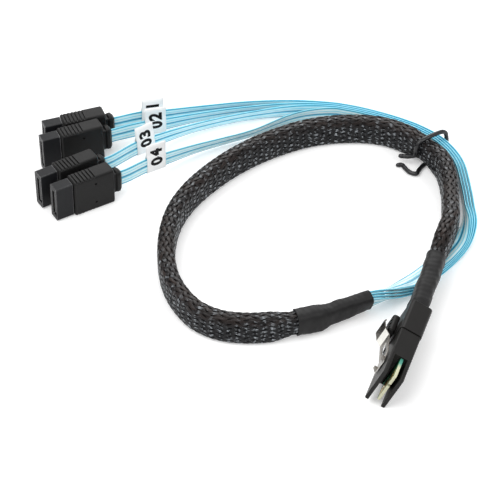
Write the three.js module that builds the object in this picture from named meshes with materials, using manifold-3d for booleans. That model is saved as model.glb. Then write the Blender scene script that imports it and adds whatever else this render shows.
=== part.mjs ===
// A cable that breaks one 36-way board plug out into four single-lane drive plugs.
// Four flat ribbons run side by side from the wide plug through a braided sleeve, turn back under the
// plug's heat-shrink, are tied to the sleeve, and fan out to the four drive plugs.
// Millimetres, +Z up. The table is z = 0 and the whole cable lies on it, with all flat pieces on edge.
import * as THREE from 'three';
import { mergeVertices } from 'three/addons/utils/BufferGeometryUtils.js';
import Module from 'manifold-3d';

const wasm = await Module();
wasm.setup();

// Clearances
const FIT = 0.3; // between pieces that seat on or in each other

// Middle of the part's outline on the table
const MIDDLE = { x: 3.72, y: -2.3 };

// Ribbons
const RIBBONS = 4;
const RIBBON_WIDTH = 6.0;
const RIBBON_THICKNESS = 0.7;
const RIBBON_CORNER = 0.2;
const RIBBON_PITCH = RIBBON_THICKNESS + FIT;
const STACK = RIBBON_PITCH * (RIBBONS - 1) + RIBBON_THICKNESS;

// Steps between two cross-sections of the cable: each alone, and less where they add up
const LONGEST_STEP = 14;
const LARGEST_BEND = 18; // degrees
const LARGEST_TWIST = 10; // degrees

// Braided sleeve
const SLEEVE_WIDTH = 6.2;
const SLEEVE_HEIGHT = 10.8;
const SLEEVE_WALL = 0.45;
const SLEEVE_CORNER = 1.9;
const SLEEVE_LENGTH = 283;
const SLEEVE_TAPER = 9; // length over which it narrows towards its ends
const SLEEVE_WAIST = 8.0; // its height where the tie squeezes it
const SLEEVE_WAIST_REACH = 9;
const sleeveEndWidth = STACK + 2 * FIT + 2 * SLEEVE_WALL + 0.1;
const sleeveEndHeight = RIBBON_WIDTH + 2 * FIT + 2 * SLEEVE_WALL + 0.1;

// Heat-shrink tubes
const SHRINK_WALL = 0.4;
const SHRINK_CORNER = 1.4;
const SHRINK_OVER_SLEEVE = 7; // length that grips the sleeve
const PLUG_SHRINK_LENGTH = 29;
const BREAKOUT_SHRINK_LENGTH = 27;
const shrinkWidth = sleeveEndWidth + 2 * FIT + 2 * SHRINK_WALL;
const shrinkHeight = sleeveEndHeight + 2 * FIT + 2 * SHRINK_WALL;
const shrinkNarrowWidth = STACK + 2 * FIT + 2 * SHRINK_WALL + 0.1;
const shrinkNarrowHeight = RIBBON_WIDTH + 2 * FIT + 2 * SHRINK_WALL + 0.1;

// Wide board plug: x runs from its cable end to its nose, y across its thickness, z across its width
const PLUG_AT = { x: 54.6, y: -46.7 };
const PLUG_HEADING = 251.4; // degrees from +X
const PLUG_LEAN = 23; // it leans on its cable
const PLUG_WIDTH = 15.4;
const PLUG_THICKNESS = 7.7;
const BACKSHELL_LENGTH = 13.6;
const BACKSHELL_WALL = 1.0;
const BACKSHELL_CORNER = 1.3;
const NOSE_LENGTH = 20.6;
const NOSE_INSET = 0.3; // the nose is this much smaller all round than the backshell
const NOSE_SIDE_WALL = 0.6;
const NOSE_CORNER = 0.5;
const LIP_LENGTH = 8.8; // open-sided stretch at the front
const LIP_THICKNESS = 1.3;
const CARD_THICKNESS = 1.0;
const CARD_OFFSET = 0.6; // from the plug's middle plane
const CARD_SETBACK = 1.0; // behind the lips' front edges
const CARD_TAIL = 5.0; // length that reaches back into the backshell
const CARD_KEY_WIDTH = 1.0; // notch in the card's front edge
const CARD_KEY_DEPTH = 3.0;
const CARD_KEY_OFFSET = 1.6;
const CARD_BEVEL = 0.3;

// Latch on the plug's inner broad face
const LATCH_WIDTH = 7.0;
const LATCH_SHEET = 0.35;
const LATCH_FOOT_FROM_NOSE = 7.5;
const LATCH_FOOT_LENGTH = 5.0;
const LATCH_SHOULDER = { length: 6.6, rise: 1.65 }; // slow slope behind the foot
const LATCH_RAMP = { length: 1.6, rise: 1.75 }; // steep slope up to the finger plate
const LATCH_PLATE = { length: 3.1, rise: 1.25 };
const LATCH_TIP = { length: 0.7, rise: -0.35 }; // turned-in end
const LATCH_WINDOW_WIDTH = 3.2;
const LATCH_WINDOW_LENGTH = 4.6;
const CLAW_WIDTH = 1.3;
const CLAW_LENGTH = 2.0;
const CLAW_HEIGHT = 1.1;
const BLOCK_LENGTH = 7.6;
const BLOCK_WIDTH = 6.4;
const BLOCK_THICKNESS = 2.5;
const BLOCK_FROM_BACK = 5.2;
const BLOCK_CORNER = 0.6;
const BLOCK_RIB = 0.35;
const BLOCK_RIB_PITCH = 1.7;
const BLOCK_RIBS = 4;

// Drive plugs: x runs from the mouth to the cable, y across the thickness, z up
const DRIVE_PLUGS = [
  { x: -71.6, y: 49.6, heading: 20, lean: 0 },
  { x: -71.8, y: 41.0, heading: 23.2, lean: 2 },
  { x: -71.4, y: 20.6, heading: 32.5, lean: 0 },
  { x: -65.7, y: 13.5, heading: 31.4, lean: -1.5 },
];
const MOUTH_LENGTH = 6.6;
const MOUTH_THICKNESS = 4.4;
const MOUTH_HEIGHT = 13.7;
const MOUTH_CORNER = 0.4;
const SLOT_DEPTH = 5.3;
const SLOT_HEIGHT = 10.6;
const SLOT_WIDTH = 1.6;
const SLOT_FOOT_HEIGHT = 1.7;
const SLOT_FOOT_REACH = 1.1;
const CONTACTS = 7;
const CONTACT_PITCH = 1.27;
const CONTACT_WIDTH = 0.5;
const CONTACT_THICKNESS = 0.35;
const CONTACT_LENGTH = 3.6;
const CARRIER_THICKNESS = 0.5;
const GRIP_LENGTH = 15.6;
const GRIP_THICKNESS = 6.1;
const GRIP_HEIGHT = 14.5;
const GRIP_ROUNDING = 0.45;
const GROOVES = 6;
const GROOVE_PITCH = 1.35;
const GROOVE_WIDTH = 0.6;
const GROOVE_DEPTH = 0.5;
const GROOVE_FROM_CABLE = 1.4;
const DIMPLE_RADIUS = 0.5;
const DIMPLE_DEPTH = 0.8;
const DIMPLE_FROM_MOUTH = 8.2;
const DIMPLE_SPACING = 8.0;
const NECK_LENGTH = 0.8;
const NECK_THICKNESS = 3.4;
const NECK_HEIGHT = 8.0;
const COLLAR_LENGTH = 2.7;
const COLLAR_THICKNESS = 4.6;
const COLLAR_HEIGHT = 9.0;
const COLLAR_ROUNDING = 0.8;
const RIBBON_SEAT = 9.0; // length of ribbon held inside collar, neck and grip
const RIBBON_LEAD = 3.0; // straight length outside the collar

// Labels
const LABEL_LENGTH = 8.4;
const LABEL_HEIGHT = 12.4;
const LABEL_PAPER = 0.3;
const LABEL_CLEARANCE = 0.4; // round the ribbon
const LABEL_FROM_PLUG = [15.5, 18.3, 20, 16.8]; // along each ribbon, from its collar
const LABEL_TILT = [9, 11, 12, 9]; // degrees that each flag leans towards its plug

// Tie
const TIE_RADIUS = 0.75;
const TIE_LIFT = 0.16; // over the table
const TIE_AT = 96; // along the cable, from the wide plug's back
const TIE_ROUNDING = 2.1;

// Route of the cable's middle: x, y, height of the bundle's underside over the table, roll in degrees.
// A roll of 0 stands the ribbons on edge and 90 lays them flat.
const SLEEVE_ROUTE = [
  [57.3, -39.0, 3.9, 19],
  [59.7, -31.8, 4.0, 13],
  [62.1, -24.3, 4.3, 7],
  [64.5, -16.5, 4.6, 2],
  [67.5, -7.9, 4.2, 0],
  [70.2, 1.0, 4.0, 0],
  [70.9, 9.5, 2.5, 0],
  [71.7, 23.6, 0.5, 0],
  [70.2, 35.9, 0.4, 0],
  [65.4, 44.4, 0.6, 0],
  [59.3, 50.9, 0.2, 0],
  [52.7, 55.4, 0.05, 0],
  [45.6, 57.5, 0.05, 0],
  [34.7, 57.7, 0.05, 0],
  [23.8, 55.5, 0.05, 0],
  [12.9, 50.5, 0.05, 0],
  [2.1, 43.3, 0.05, 0],
  [-8.5, 33.3, 0.05, 0],
  [-18.8, 19.4, 0.05, 0],
  [-24.2, 6.5, 0.05, 0],
  [-26.2, -9.2, 0.05, 0],
  [-24.7, -24.4, 0.05, 0],
  [-21.0, -34.3, 0.05, 0],
  [-15.3, -42.3, 0.05, 0],
  [-7.8, -46.9, 0.05, 0],
  [0.3, -48.3, 0.05, 0],
  [8.4, -47.8, 0.05, 0],
  [17.5, -45.5, 0.1, 0],
];
const BREAKOUT_ROUTE = [
  [26.4, -41.7, 0.3, 0],
  [34.7, -37.3, 0.3, 6],
  [42.1, -33.4, 0.3, 25],
  [50.0, -28.4, 0.2, 62],
  [56.3, -22.9, 0.2, 90],
  [62.4, -16.8, 0.2, 90],
  [68.6, -9.8, 0.2, 90],
  [73.6, -2.8, 0.2, 78],
  [76.8, 4.8, 0.2, 38],
  [77.8, 13.0, 0.2, 6],
  [77.7, 24.0, 0.3, 0],
  [75.8, 37.3, 1.6, 0],
  [70.3, 47.7, 2.3, 0],
  [63.2, 55.3, 2.0, 0],
  [56.2, 60.7, 1.4, 0],
  [49.4, 65.0, 0.8, 0],
  [42.0, 68.8, 0.3, 0],
  [34.5, 71.4, 0.1, 0],
];
const BRANCH_ROUTES = [
  [
    [20.0, 75.0, 0.2, -10],
    [2.2, 75.2, 0.2, -22],
    [-17.3, 71.7, 0.4, -20],
    [-28.9, 67.4, 1.5, -10],
    [-37.6, 63.6, 3.0, 0],
  ],
  [
    [20.0, 73.5, 0.1, -10],
    [2.2, 72.2, 0.2, -22],
    [-17.2, 67.5, 0.4, -20],
    [-28.8, 62.1, 1.5, -10],
    [-37.6, 57.3, 3.0, 0],
  ],
  [
    [20.0, 71.9, 0.2, -10],
    [2.2, 68.8, 0.2, -22],
    [-17.1, 61.6, 0.4, -20],
    [-30.0, 53.0, 1.7, -10],
    [-38.4, 45.6, 3.1, 0],
  ],
  [
    [20.0, 68.2, 0.2, -14],
    [2.2, 57.9, 0.2, -26],
    [-8.7, 53.0, 0.2, -24],
    [-17.2, 48.6, 0.6, -18],
    [-26.1, 42.6, 1.5, -8],
    [-34.4, 35.6, 3.0, 0],
  ],
];

// Looks, for a plain viewer
const looks = {
  blackPlastic: new THREE.MeshStandardMaterial({ color: 0x17181a, roughness: 0.45, metalness: 0 }),
  heatShrink: new THREE.MeshStandardMaterial({ color: 0x141414, roughness: 0.7, metalness: 0 }),
  braid: new THREE.MeshStandardMaterial({ color: 0x1b1716, roughness: 0.4, metalness: 0 }),
  jacket: new THREE.MeshStandardMaterial({ color: 0x5fd0e6, roughness: 0.3, metalness: 0 }),
  paper: new THREE.MeshStandardMaterial({ color: 0xf6f6f4, roughness: 0.8, metalness: 0 }),
  steel: new THREE.MeshStandardMaterial({ color: 0xcfcdc6, roughness: 0.3, metalness: 1 }),
  gold: new THREE.MeshStandardMaterial({ color: 0xd8b25a, roughness: 0.3, metalness: 1 }),
  board: new THREE.MeshStandardMaterial({ color: 0x3f7a4a, roughness: 0.5, metalness: 0 }),
};

// Solids

function toSolid(geometry) {
  const bare = geometry.clone();
  bare.deleteAttribute('normal');
  bare.deleteAttribute('uv');
  const merged = mergeVertices(bare, 1e-4);
  return new wasm.Manifold(new wasm.Mesh({
    numProp: 3,
    vertProperties: new Float32Array(merged.attributes.position.array),
    triVerts: new Uint32Array(merged.index.array),
  }));
}

function toGeometry(solid) {
  const mesh = solid.getMesh();
  const geometry = new THREE.BufferGeometry();
  geometry.setAttribute('position', new THREE.BufferAttribute(new Float32Array(mesh.vertProperties), 3));
  geometry.setIndex(new THREE.BufferAttribute(new Uint32Array(mesh.triVerts), 1));
  geometry.computeVertexNormals();
  return geometry;
}

function cut(body, ...tools) {
  return toGeometry(tools.reduce((solid, tool) => solid.subtract(toSolid(tool)), toSolid(body)));
}

function join(...pieces) {
  const [first, ...others] = pieces.map(toSolid);
  return toGeometry(others.reduce((solid, piece) => solid.add(piece), first));
}

// A box from its six face positions
function block(x0, x1, y0, y1, z0, z1) {
  const geometry = new THREE.BoxGeometry(x1 - x0, y1 - y0, z1 - z0);
  geometry.translate((x0 + x1) / 2, (y0 + y1) / 2, (z0 + z1) / 2);
  return geometry;
}

// A rectangle with round corners, centred on the origin
function roundedOutline(width, height, corner, Kind = THREE.Shape) {
  const x = width / 2;
  const y = height / 2;
  const outline = new Kind();
  outline.moveTo(x, y - corner);
  outline.absarc(x - corner, y - corner, corner, 0, Math.PI / 2);
  outline.absarc(corner - x, y - corner, corner, Math.PI / 2, Math.PI);
  outline.absarc(corner - x, corner - y, corner, Math.PI, 1.5 * Math.PI);
  outline.absarc(x - corner, corner - y, corner, 1.5 * Math.PI, 2 * Math.PI);
  return outline;
}

function tubeOutline(width, height, wall, corner) {
  const outline = roundedOutline(width, height, corner);
  outline.holes.push(roundedOutline(width - 2 * wall, height - 2 * wall, corner - wall, THREE.Path));
  return outline;
}

// A bar along x from x0 to x1 whose section is an outline in y and z
function barAlongX(outline, x0, x1, curveSegments = 3) {
  const depth = x1 - x0;
  const geometry = new THREE.ExtrudeGeometry(outline, { depth, bevelEnabled: false, curveSegments });
  geometry.applyMatrix4(new THREE.Matrix4().makeBasis(
    new THREE.Vector3(0, 1, 0),
    new THREE.Vector3(0, 0, 1),
    new THREE.Vector3(1, 0, 0),
  ));
  geometry.translate(x0, 0, 0);
  return geometry;
}

// A block whose edges are all rounded off, between two x positions
function softBlock(x0, x1, thickness, height, rounding) {
  const edge = Math.min(rounding, thickness / 5);
  const outline = roundedOutline(thickness - 2 * edge, height - 2 * edge, edge);
  const geometry = new THREE.ExtrudeGeometry(outline, {
    depth: x1 - x0 - 2 * edge,
    bevelEnabled: true,
    bevelThickness: edge,
    bevelSize: edge,
    bevelSegments: 1,
    curveSegments: 1,
  });
  geometry.applyMatrix4(new THREE.Matrix4().makeBasis(
    new THREE.Vector3(0, 1, 0),
    new THREE.Vector3(0, 0, 1),
    new THREE.Vector3(1, 0, 0),
  ));
  geometry.translate(x0 + edge, 0, 0);
  return geometry;
}

// Runs of cable

// Cross-sections along a smooth line through the points, kept upright apart from their roll, and
// closer together where the line bends or twists
function stationsAlong(points, fromPoint = 0) {
  const places = points.map(([x, y, z]) => new THREE.Vector3(x, y, z));
  const rolls = points.map((point) => new THREE.Vector3(point[3], 0, 0));
  const line = new THREE.CatmullRomCurve3(places, false, 'centripetal');
  const twist = new THREE.CatmullRomCurve3(rolls, false, 'catmullrom');
  const samplesPerPoint = 24;
  const samples = samplesPerPoint * (points.length - 1);
  const fine = [];
  for (let k = samplesPerPoint * fromPoint; k <= samples; k += 1) {
    const t = k / samples;
    const here = station(line.getPoint(t), line.getTangent(t), twist.getPoint(t).x, 0);
    const before = fine[fine.length - 1];
    here.effort = 0;
    if (before) {
      const step = here.at.distanceTo(before.at);
      const bend = THREE.MathUtils.radToDeg(here.ahead.angleTo(before.ahead));
      const turn = Math.abs(here.roll - before.roll);
      here.along = before.along + step;
      here.effort = before.effort + step / LONGEST_STEP + bend / LARGEST_BEND + turn / LARGEST_TWIST;
    }
    fine.push(here);
  }
  const effort = fine[fine.length - 1].effort;
  const count = Math.ceil(effort);
  return Array.from({ length: count + 1 }, (_, i) => (
    fine.find((s) => s.effort >= (effort * i) / count - 1e-9)
  ));
}

function station(at, ahead, roll, along) {
  const level = new THREE.Vector3(0, 0, 1).cross(ahead).normalize();
  const upright = ahead.clone().cross(level).normalize();
  const angle = THREE.MathUtils.degToRad(roll);
  const side = level.clone().multiplyScalar(Math.cos(angle)).addScaledVector(upright, Math.sin(angle));
  const up = upright.clone().multiplyScalar(Math.cos(angle)).addScaledVector(level, -Math.sin(angle));
  return { at, ahead, side, up, roll, along };
}

// The cross-section between two stations, on the flat facets that join them
function between(a, b, along) {
  const share = (along - a.along) / (b.along - a.along);
  return {
    at: a.at.clone().lerp(b.at, share),
    ahead: a.ahead.clone().lerp(b.ahead, share).normalize(),
    side: a.side.clone().lerp(b.side, share),
    up: a.up.clone().lerp(b.up, share),
    roll: THREE.MathUtils.lerp(a.roll, b.roll, share),
    along,
  };
}

function stationAt(stations, along) {
  const next = Math.max(1, stations.findIndex((s) => s.along >= along));
  return between(stations[next - 1], stations[next], along);
}

function shifted(stations, sideways) {
  return stations.map((s) => ({ ...s, at: s.at.clone().addScaledVector(s.side, sideways) }));
}

// A line through given stations, whose frames carry the section's side, up and size at each of them
class Run extends THREE.Curve {
  constructor(stations, sizeAt) {
    super();
    this.stations = stations;
    this.sizeAt = sizeAt;
  }

  getPoint(t, target = new THREE.Vector3()) {
    return target.copy(this.stations[Math.round(t * (this.stations.length - 1))].at);
  }

  getPointAt(u, target) {
    return this.getPoint(u, target);
  }

  computeFrenetFrames() {
    const sizes = this.stations.map((s) => this.sizeAt(s.along));
    return {
      tangents: this.stations.map((s) => s.ahead),
      normals: this.stations.map((s, i) => s.side.clone().multiplyScalar(sizes[i][0])),
      binormals: this.stations.map((s, i) => s.up.clone().multiplyScalar(sizes[i][1])),
    };
  }
}

function sweep(outline, stations, sizeAt = () => [1, 1], curveSegments = 2) {
  return new THREE.ExtrudeGeometry(outline, {
    steps: stations.length - 1,
    extrudePath: new Run(stations, sizeAt),
    curveSegments,
  });
}

// 0 at a, 1 at b, with level ends
function ease(value, a, b) {
  return THREE.MathUtils.smoothstep((value - a) / (b - a), 0, 1);
}

// The wide plug's place
const plugLean = THREE.MathUtils.degToRad(PLUG_LEAN);
const plugHeading = THREE.MathUtils.degToRad(PLUG_HEADING);
const plugHeight = (PLUG_WIDTH / 2 - BACKSHELL_CORNER) * Math.cos(plugLean)
  + (PLUG_THICKNESS / 2 - BACKSHELL_CORNER) * Math.sin(plugLean) + BACKSHELL_CORNER;
const plug = new THREE.Group();
plug.position.set(PLUG_AT.x, PLUG_AT.y, plugHeight);
plug.rotation.set(-plugLean, 0, plugHeading, 'ZYX');
plug.updateMatrix();

function onPlug(x, y, z) {
  return new THREE.Vector3(x, y, z).applyMatrix4(plug.matrix);
}

// Trunk: all four ribbons together, from the wide plug to where they part
const ribbonEnd = BACKSHELL_LENGTH - CARD_TAIL - FIT;
const inPlug = [ribbonEnd, ribbonEnd / 2, 0, -3].map((x) => {
  const point = onPlug(x, 0, 0);
  return [point.x, point.y, point.z, PLUG_LEAN];
});
const inShrink = (height) => ([x, y, lift, roll]) => [x, y, lift + height / 2, roll];

function bareHeight(roll) {
  const angle = THREE.MathUtils.degToRad(roll);
  return RIBBON_WIDTH * Math.abs(Math.cos(angle)) + STACK * Math.abs(Math.sin(angle));
}

const onTable = ([x, y, lift, roll]) => [x, y, lift + bareHeight(roll) / 2, roll];
const SHRINK_POINTS = 4; // points of the sleeve's route that lie in the plug's heat-shrink
const BREAKOUT_POINTS = 3; // points of the breakout route that lie in its heat-shrink
const trunk = stationsAlong([
  ...inPlug,
  ...SLEEVE_ROUTE.slice(0, SHRINK_POINTS).map(inShrink(shrinkHeight)),
  ...SLEEVE_ROUTE.slice(SHRINK_POINTS).map(inShrink(SLEEVE_HEIGHT)),
  ...BREAKOUT_ROUTE.slice(0, BREAKOUT_POINTS).map(inShrink(shrinkHeight)),
  ...BREAKOUT_ROUTE.slice(BREAKOUT_POINTS).map(onTable),
]);

// The trunk's stations from one place to another, with more at the marks where a covering's size changes
function stretchBetween(from, to, marks = []) {
  const apart = 0.5;
  const set = [from, ...marks, to].map((along) => stationAt(trunk, along));
  const clear = (s) => set.every((other) => Math.abs(other.along - s.along) > apart);
  const own = trunk.filter((s) => s.along > from && s.along < to && clear(s));
  return [...set, ...own].sort((a, b) => a.along - b.along);
}

function marksAcross(from, to) {
  return [0, 0.25, 0.5, 0.75, 1].map((share) => THREE.MathUtils.lerp(from, to, share));
}

// Where the trunk, on its way back, crosses the plane of an earlier cross-section closest to it
function abreast(here, after) {
  const ahead = (s) => s.at.clone().sub(here.at).dot(here.ahead);
  const returning = trunk.filter((s) => s.along > after);
  const crossings = returning.slice(1).flatMap((b, i) => {
    const a = returning[i];
    if (ahead(a) * ahead(b) > 0) return [];
    return [between(a, b, THREE.MathUtils.lerp(a.along, b.along, ahead(a) / (ahead(a) - ahead(b))))];
  });
  const away = (s) => s.at.distanceTo(here.at);
  return crossings.reduce((best, s) => (away(s) < away(best) ? s : best));
}

// Where each covering begins and ends along the trunk
const plugShrinkStart = ribbonEnd + FIT;
const plugShrinkEnd = plugShrinkStart + PLUG_SHRINK_LENGTH;
const sleeveStart = plugShrinkEnd - SHRINK_OVER_SLEEVE;
const sleeveEnd = sleeveStart + SLEEVE_LENGTH;
const breakoutStart = sleeveEnd - SHRINK_OVER_SLEEVE;
const breakoutEnd = breakoutStart + BREAKOUT_SHRINK_LENGTH;
const tieAlong = ribbonEnd + TIE_AT;

function sleeveSize(along) {
  const fromEnd = Math.min(along - sleeveStart, sleeveEnd - along);
  const open = ease(fromEnd, SHRINK_OVER_SLEEVE + FIT, SHRINK_OVER_SLEEVE + FIT + SLEEVE_TAPER);
  const squeeze = 1 - ease(Math.abs(along - tieAlong), 0, SLEEVE_WAIST_REACH);
  const width = THREE.MathUtils.lerp(sleeveEndWidth, SLEEVE_WIDTH, open);
  const full = THREE.MathUtils.lerp(sleeveEndHeight, SLEEVE_HEIGHT, open);
  const height = THREE.MathUtils.lerp(full, SLEEVE_WAIST, squeeze);
  return [width / SLEEVE_WIDTH, height / SLEEVE_HEIGHT];
}

// A heat-shrink is wide where it grips the sleeve and narrow where it grips bare ribbons
function shrinkSize(onSleeve) {
  return [
    THREE.MathUtils.lerp(shrinkNarrowWidth, shrinkWidth, onSleeve) / shrinkWidth,
    THREE.MathUtils.lerp(shrinkNarrowHeight, shrinkHeight, onSleeve) / shrinkHeight,
  ];
}

const object = new THREE.Group();

function add(name, geometry, look, parent = object) {
  const mesh = new THREE.Mesh(geometry, looks[look]);
  mesh.name = name;
  parent.add(mesh);
  return mesh;
}

// Coverings
const shrinkOutline = tubeOutline(shrinkWidth, shrinkHeight, SHRINK_WALL, SHRINK_CORNER);
const sleeveOutline = tubeOutline(SLEEVE_WIDTH, SLEEVE_HEIGHT, SLEEVE_WALL, SLEEVE_CORNER);
const SHRINK_STEP = 6; // length over which a heat-shrink narrows past the sleeve's end

add('heat_shrink_plug_end', sweep(
  shrinkOutline,
  stretchBetween(
    plugShrinkStart, plugShrinkEnd,
    marksAcross(sleeveStart - SHRINK_STEP - FIT, sleeveStart - FIT),
  ),
  (along) => shrinkSize(ease(along, sleeveStart - SHRINK_STEP - FIT, sleeveStart - FIT)),
), 'heatShrink');

add('heat_shrink_breakout_end', sweep(
  shrinkOutline,
  stretchBetween(breakoutStart, breakoutEnd, marksAcross(sleeveEnd + FIT, sleeveEnd + FIT + SHRINK_STEP)),
  (along) => shrinkSize(ease(along, sleeveEnd + FIT + SHRINK_STEP, sleeveEnd + FIT)),
), 'heatShrink');

add('braided_sleeve', sweep(
  sleeveOutline,
  stretchBetween(sleeveStart, sleeveEnd, [
    ...marksAcross(plugShrinkEnd + FIT, plugShrinkEnd + FIT + SLEEVE_TAPER),
    ...marksAcross(tieAlong - SLEEVE_WAIST_REACH, tieAlong),
    ...marksAcross(tieAlong, tieAlong + SLEEVE_WAIST_REACH).slice(1),
    ...marksAcross(breakoutStart - FIT - SLEEVE_TAPER, breakoutStart - FIT),
  ]),
  sleeveSize,
), 'braid');

// Wide plug

const noseStart = BACKSHELL_LENGTH + FIT;
const noseEnd = noseStart + NOSE_LENGTH;
const noseWidth = PLUG_WIDTH - 2 * NOSE_INSET;
const noseThickness = PLUG_THICKNESS - 2 * NOSE_INSET;
const cardWidth = noseWidth - 2 * NOSE_SIDE_WALL - 2 * FIT;

function backshell() {
  const outline = roundedOutline(PLUG_THICKNESS, PLUG_WIDTH, BACKSHELL_CORNER);
  const body = barAlongX(outline, 0, BACKSHELL_LENGTH);
  const inside = block(
    BACKSHELL_WALL, BACKSHELL_LENGTH + 1,
    BACKSHELL_WALL - PLUG_THICKNESS / 2, PLUG_THICKNESS / 2 - BACKSHELL_WALL,
    BACKSHELL_WALL - PLUG_WIDTH / 2, PLUG_WIDTH / 2 - BACKSHELL_WALL,
  );
  const doorWidth = STACK + 2 * FIT;
  const doorHeight = RIBBON_WIDTH + 2 * FIT;
  const door = block(
    -1, BACKSHELL_WALL + 1,
    -doorWidth / 2, doorWidth / 2,
    -doorHeight / 2, doorHeight / 2,
  );
  return cut(body, inside, door);
}

function nose() {
  const body = barAlongX(roundedOutline(noseThickness, noseWidth, NOSE_CORNER), noseStart, noseEnd);
  const lipsStart = noseEnd - LIP_LENGTH;
  const cardSlot = block(
    noseStart - 1, noseEnd,
    CARD_OFFSET - CARD_THICKNESS / 2 - FIT, CARD_OFFSET + CARD_THICKNESS / 2 + FIT,
    -cardWidth / 2 - FIT, cardWidth / 2 + FIT,
  );
  const betweenLips = block(
    lipsStart, noseEnd + 1,
    LIP_THICKNESS - noseThickness / 2, noseThickness / 2 - LIP_THICKNESS,
    -PLUG_WIDTH, PLUG_WIDTH,
  );
  return cut(body, cardSlot, betweenLips);
}

function card() {
  const front = noseEnd - CARD_SETBACK;
  const outline = new THREE.Shape();
  const back = ribbonEnd + FIT;
  const half = cardWidth / 2;
  outline.moveTo(back, -half);
  outline.lineTo(front - CARD_BEVEL, -half);
  outline.lineTo(front, CARD_BEVEL - half);
  outline.lineTo(front, CARD_KEY_OFFSET - CARD_KEY_WIDTH / 2);
  outline.lineTo(front - CARD_KEY_DEPTH, CARD_KEY_OFFSET - CARD_KEY_WIDTH / 2);
  outline.lineTo(front - CARD_KEY_DEPTH, CARD_KEY_OFFSET + CARD_KEY_WIDTH / 2);
  outline.lineTo(front, CARD_KEY_OFFSET + CARD_KEY_WIDTH / 2);
  outline.lineTo(front, half - CARD_BEVEL);
  outline.lineTo(front - CARD_BEVEL, half);
  outline.lineTo(back, half);
  const geometry = new THREE.ExtrudeGeometry(outline, { depth: CARD_THICKNESS, bevelEnabled: false });
  geometry.rotateX(Math.PI / 2);
  geometry.translate(0, CARD_OFFSET + CARD_THICKNESS / 2, 0);
  return geometry;
}

// The latch is one bent sheet: a foot on the nose, a shoulder, a ramp and a finger plate with a
// turned-in tip
const latchFace = -noseThickness / 2; // the face of the nose that it is fixed to
const latchFootFront = noseEnd - LATCH_FOOT_FROM_NOSE;
const latchFootEnd = latchFootFront - LATCH_FOOT_LENGTH;
const latchLine = [[latchFootFront, 0], [latchFootEnd, 0]];
[LATCH_SHOULDER, LATCH_RAMP, LATCH_PLATE, LATCH_TIP].forEach(({ length, rise }) => {
  const [x, height] = latchLine[latchLine.length - 1];
  latchLine.push([x - length, height + rise]);
});

function latchSpring() {
  const outline = new THREE.Shape();
  const under = latchLine.map(([x, rise]) => [x, latchFace - FIT - rise]);
  const over = under.map(([x, y]) => [x, y - LATCH_SHEET]).reverse();
  [...under, ...over].forEach(([x, y], i) => (i ? outline.lineTo(x, y) : outline.moveTo(x, y)));
  const sheet = new THREE.ExtrudeGeometry(outline, { depth: LATCH_WIDTH, bevelEnabled: false });
  sheet.translate(0, 0, -LATCH_WIDTH / 2);
  const claws = [-1, 1].map((end) => {
    const claw = new THREE.Shape();
    const front = latchFootFront;
    const foot = latchFace - FIT - LATCH_SHEET / 2;
    claw.moveTo(front, foot);
    claw.lineTo(front - CLAW_LENGTH, foot - CLAW_HEIGHT - LATCH_SHEET / 2);
    claw.lineTo(front - CLAW_LENGTH, foot);
    const geometry = new THREE.ExtrudeGeometry(claw, { depth: CLAW_WIDTH, bevelEnabled: false });
    geometry.translate(0, 0, end * (LATCH_WIDTH / 2 - CLAW_WIDTH / 2) - CLAW_WIDTH / 2);
    return geometry;
  });
  const window = block(
    latchFootEnd - LATCH_WINDOW_LENGTH, latchFootEnd,
    latchFace - PLUG_THICKNESS, latchFace,
    -LATCH_WINDOW_WIDTH / 2, LATCH_WINDOW_WIDTH / 2,
  );
  return cut(join(sheet, ...claws), window);
}

// A ribbed block under the finger plate, the plate's stop
function latchBlock() {
  const base = -PLUG_THICKNESS / 2 - FIT;
  const top = base - BLOCK_THICKNESS;
  const body = softBlock(0, BLOCK_LENGTH, BLOCK_THICKNESS, BLOCK_WIDTH, BLOCK_CORNER);
  body.translate(BLOCK_FROM_BACK, (base + top) / 2, 0);
  const ribs = Array.from({ length: BLOCK_RIBS }, (_, i) => {
    const x = BLOCK_FROM_BACK + BLOCK_CORNER + BLOCK_RIB_PITCH * (i + 0.25);
    return block(x, x + BLOCK_RIB_PITCH / 2, top - 0.1, top + BLOCK_RIB, -BLOCK_WIDTH, BLOCK_WIDTH);
  });
  return cut(body, ...ribs);
}

add('mini_sas_backshell', backshell(), 'blackPlastic', plug);
add('mini_sas_nose', nose(), 'blackPlastic', plug);
add('paddle_card', card(), 'board', plug);
add('latch_spring', latchSpring(), 'steel', plug);
add('latch_block', latchBlock(), 'blackPlastic', plug);
object.add(plug);

// Drive plugs

const gripStart = MOUTH_LENGTH + FIT;
const gripEnd = gripStart + GRIP_LENGTH;
const collarEnd = gripEnd + NECK_LENGTH + COLLAR_LENGTH;
const plugMiddle = GRIP_HEIGHT / 2;

function drivePlugGroup({ x, y, heading, lean }) {
  const group = new THREE.Group();
  const angle = THREE.MathUtils.degToRad(lean);
  const lift = (GRIP_THICKNESS / 2) * Math.abs(Math.sin(angle));
  group.position.set(x, y, lift + plugMiddle * Math.cos(angle));
  group.rotation.set(-angle, 0, THREE.MathUtils.degToRad(heading), 'ZYX');
  group.updateMatrix();
  return group;
}

function mouth() {
  const body = barAlongX(roundedOutline(MOUTH_THICKNESS, MOUTH_HEIGHT, MOUTH_CORNER), 0, MOUTH_LENGTH, 2);
  const slot = block(-1, SLOT_DEPTH, -SLOT_WIDTH / 2, SLOT_WIDTH / 2, -SLOT_HEIGHT / 2, SLOT_HEIGHT / 2);
  const foot = block(
    -1, SLOT_DEPTH,
    -SLOT_WIDTH / 2 - SLOT_FOOT_REACH, 0,
    -SLOT_HEIGHT / 2, SLOT_FOOT_HEIGHT - SLOT_HEIGHT / 2,
  );
  return cut(body, slot, foot);
}

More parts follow.
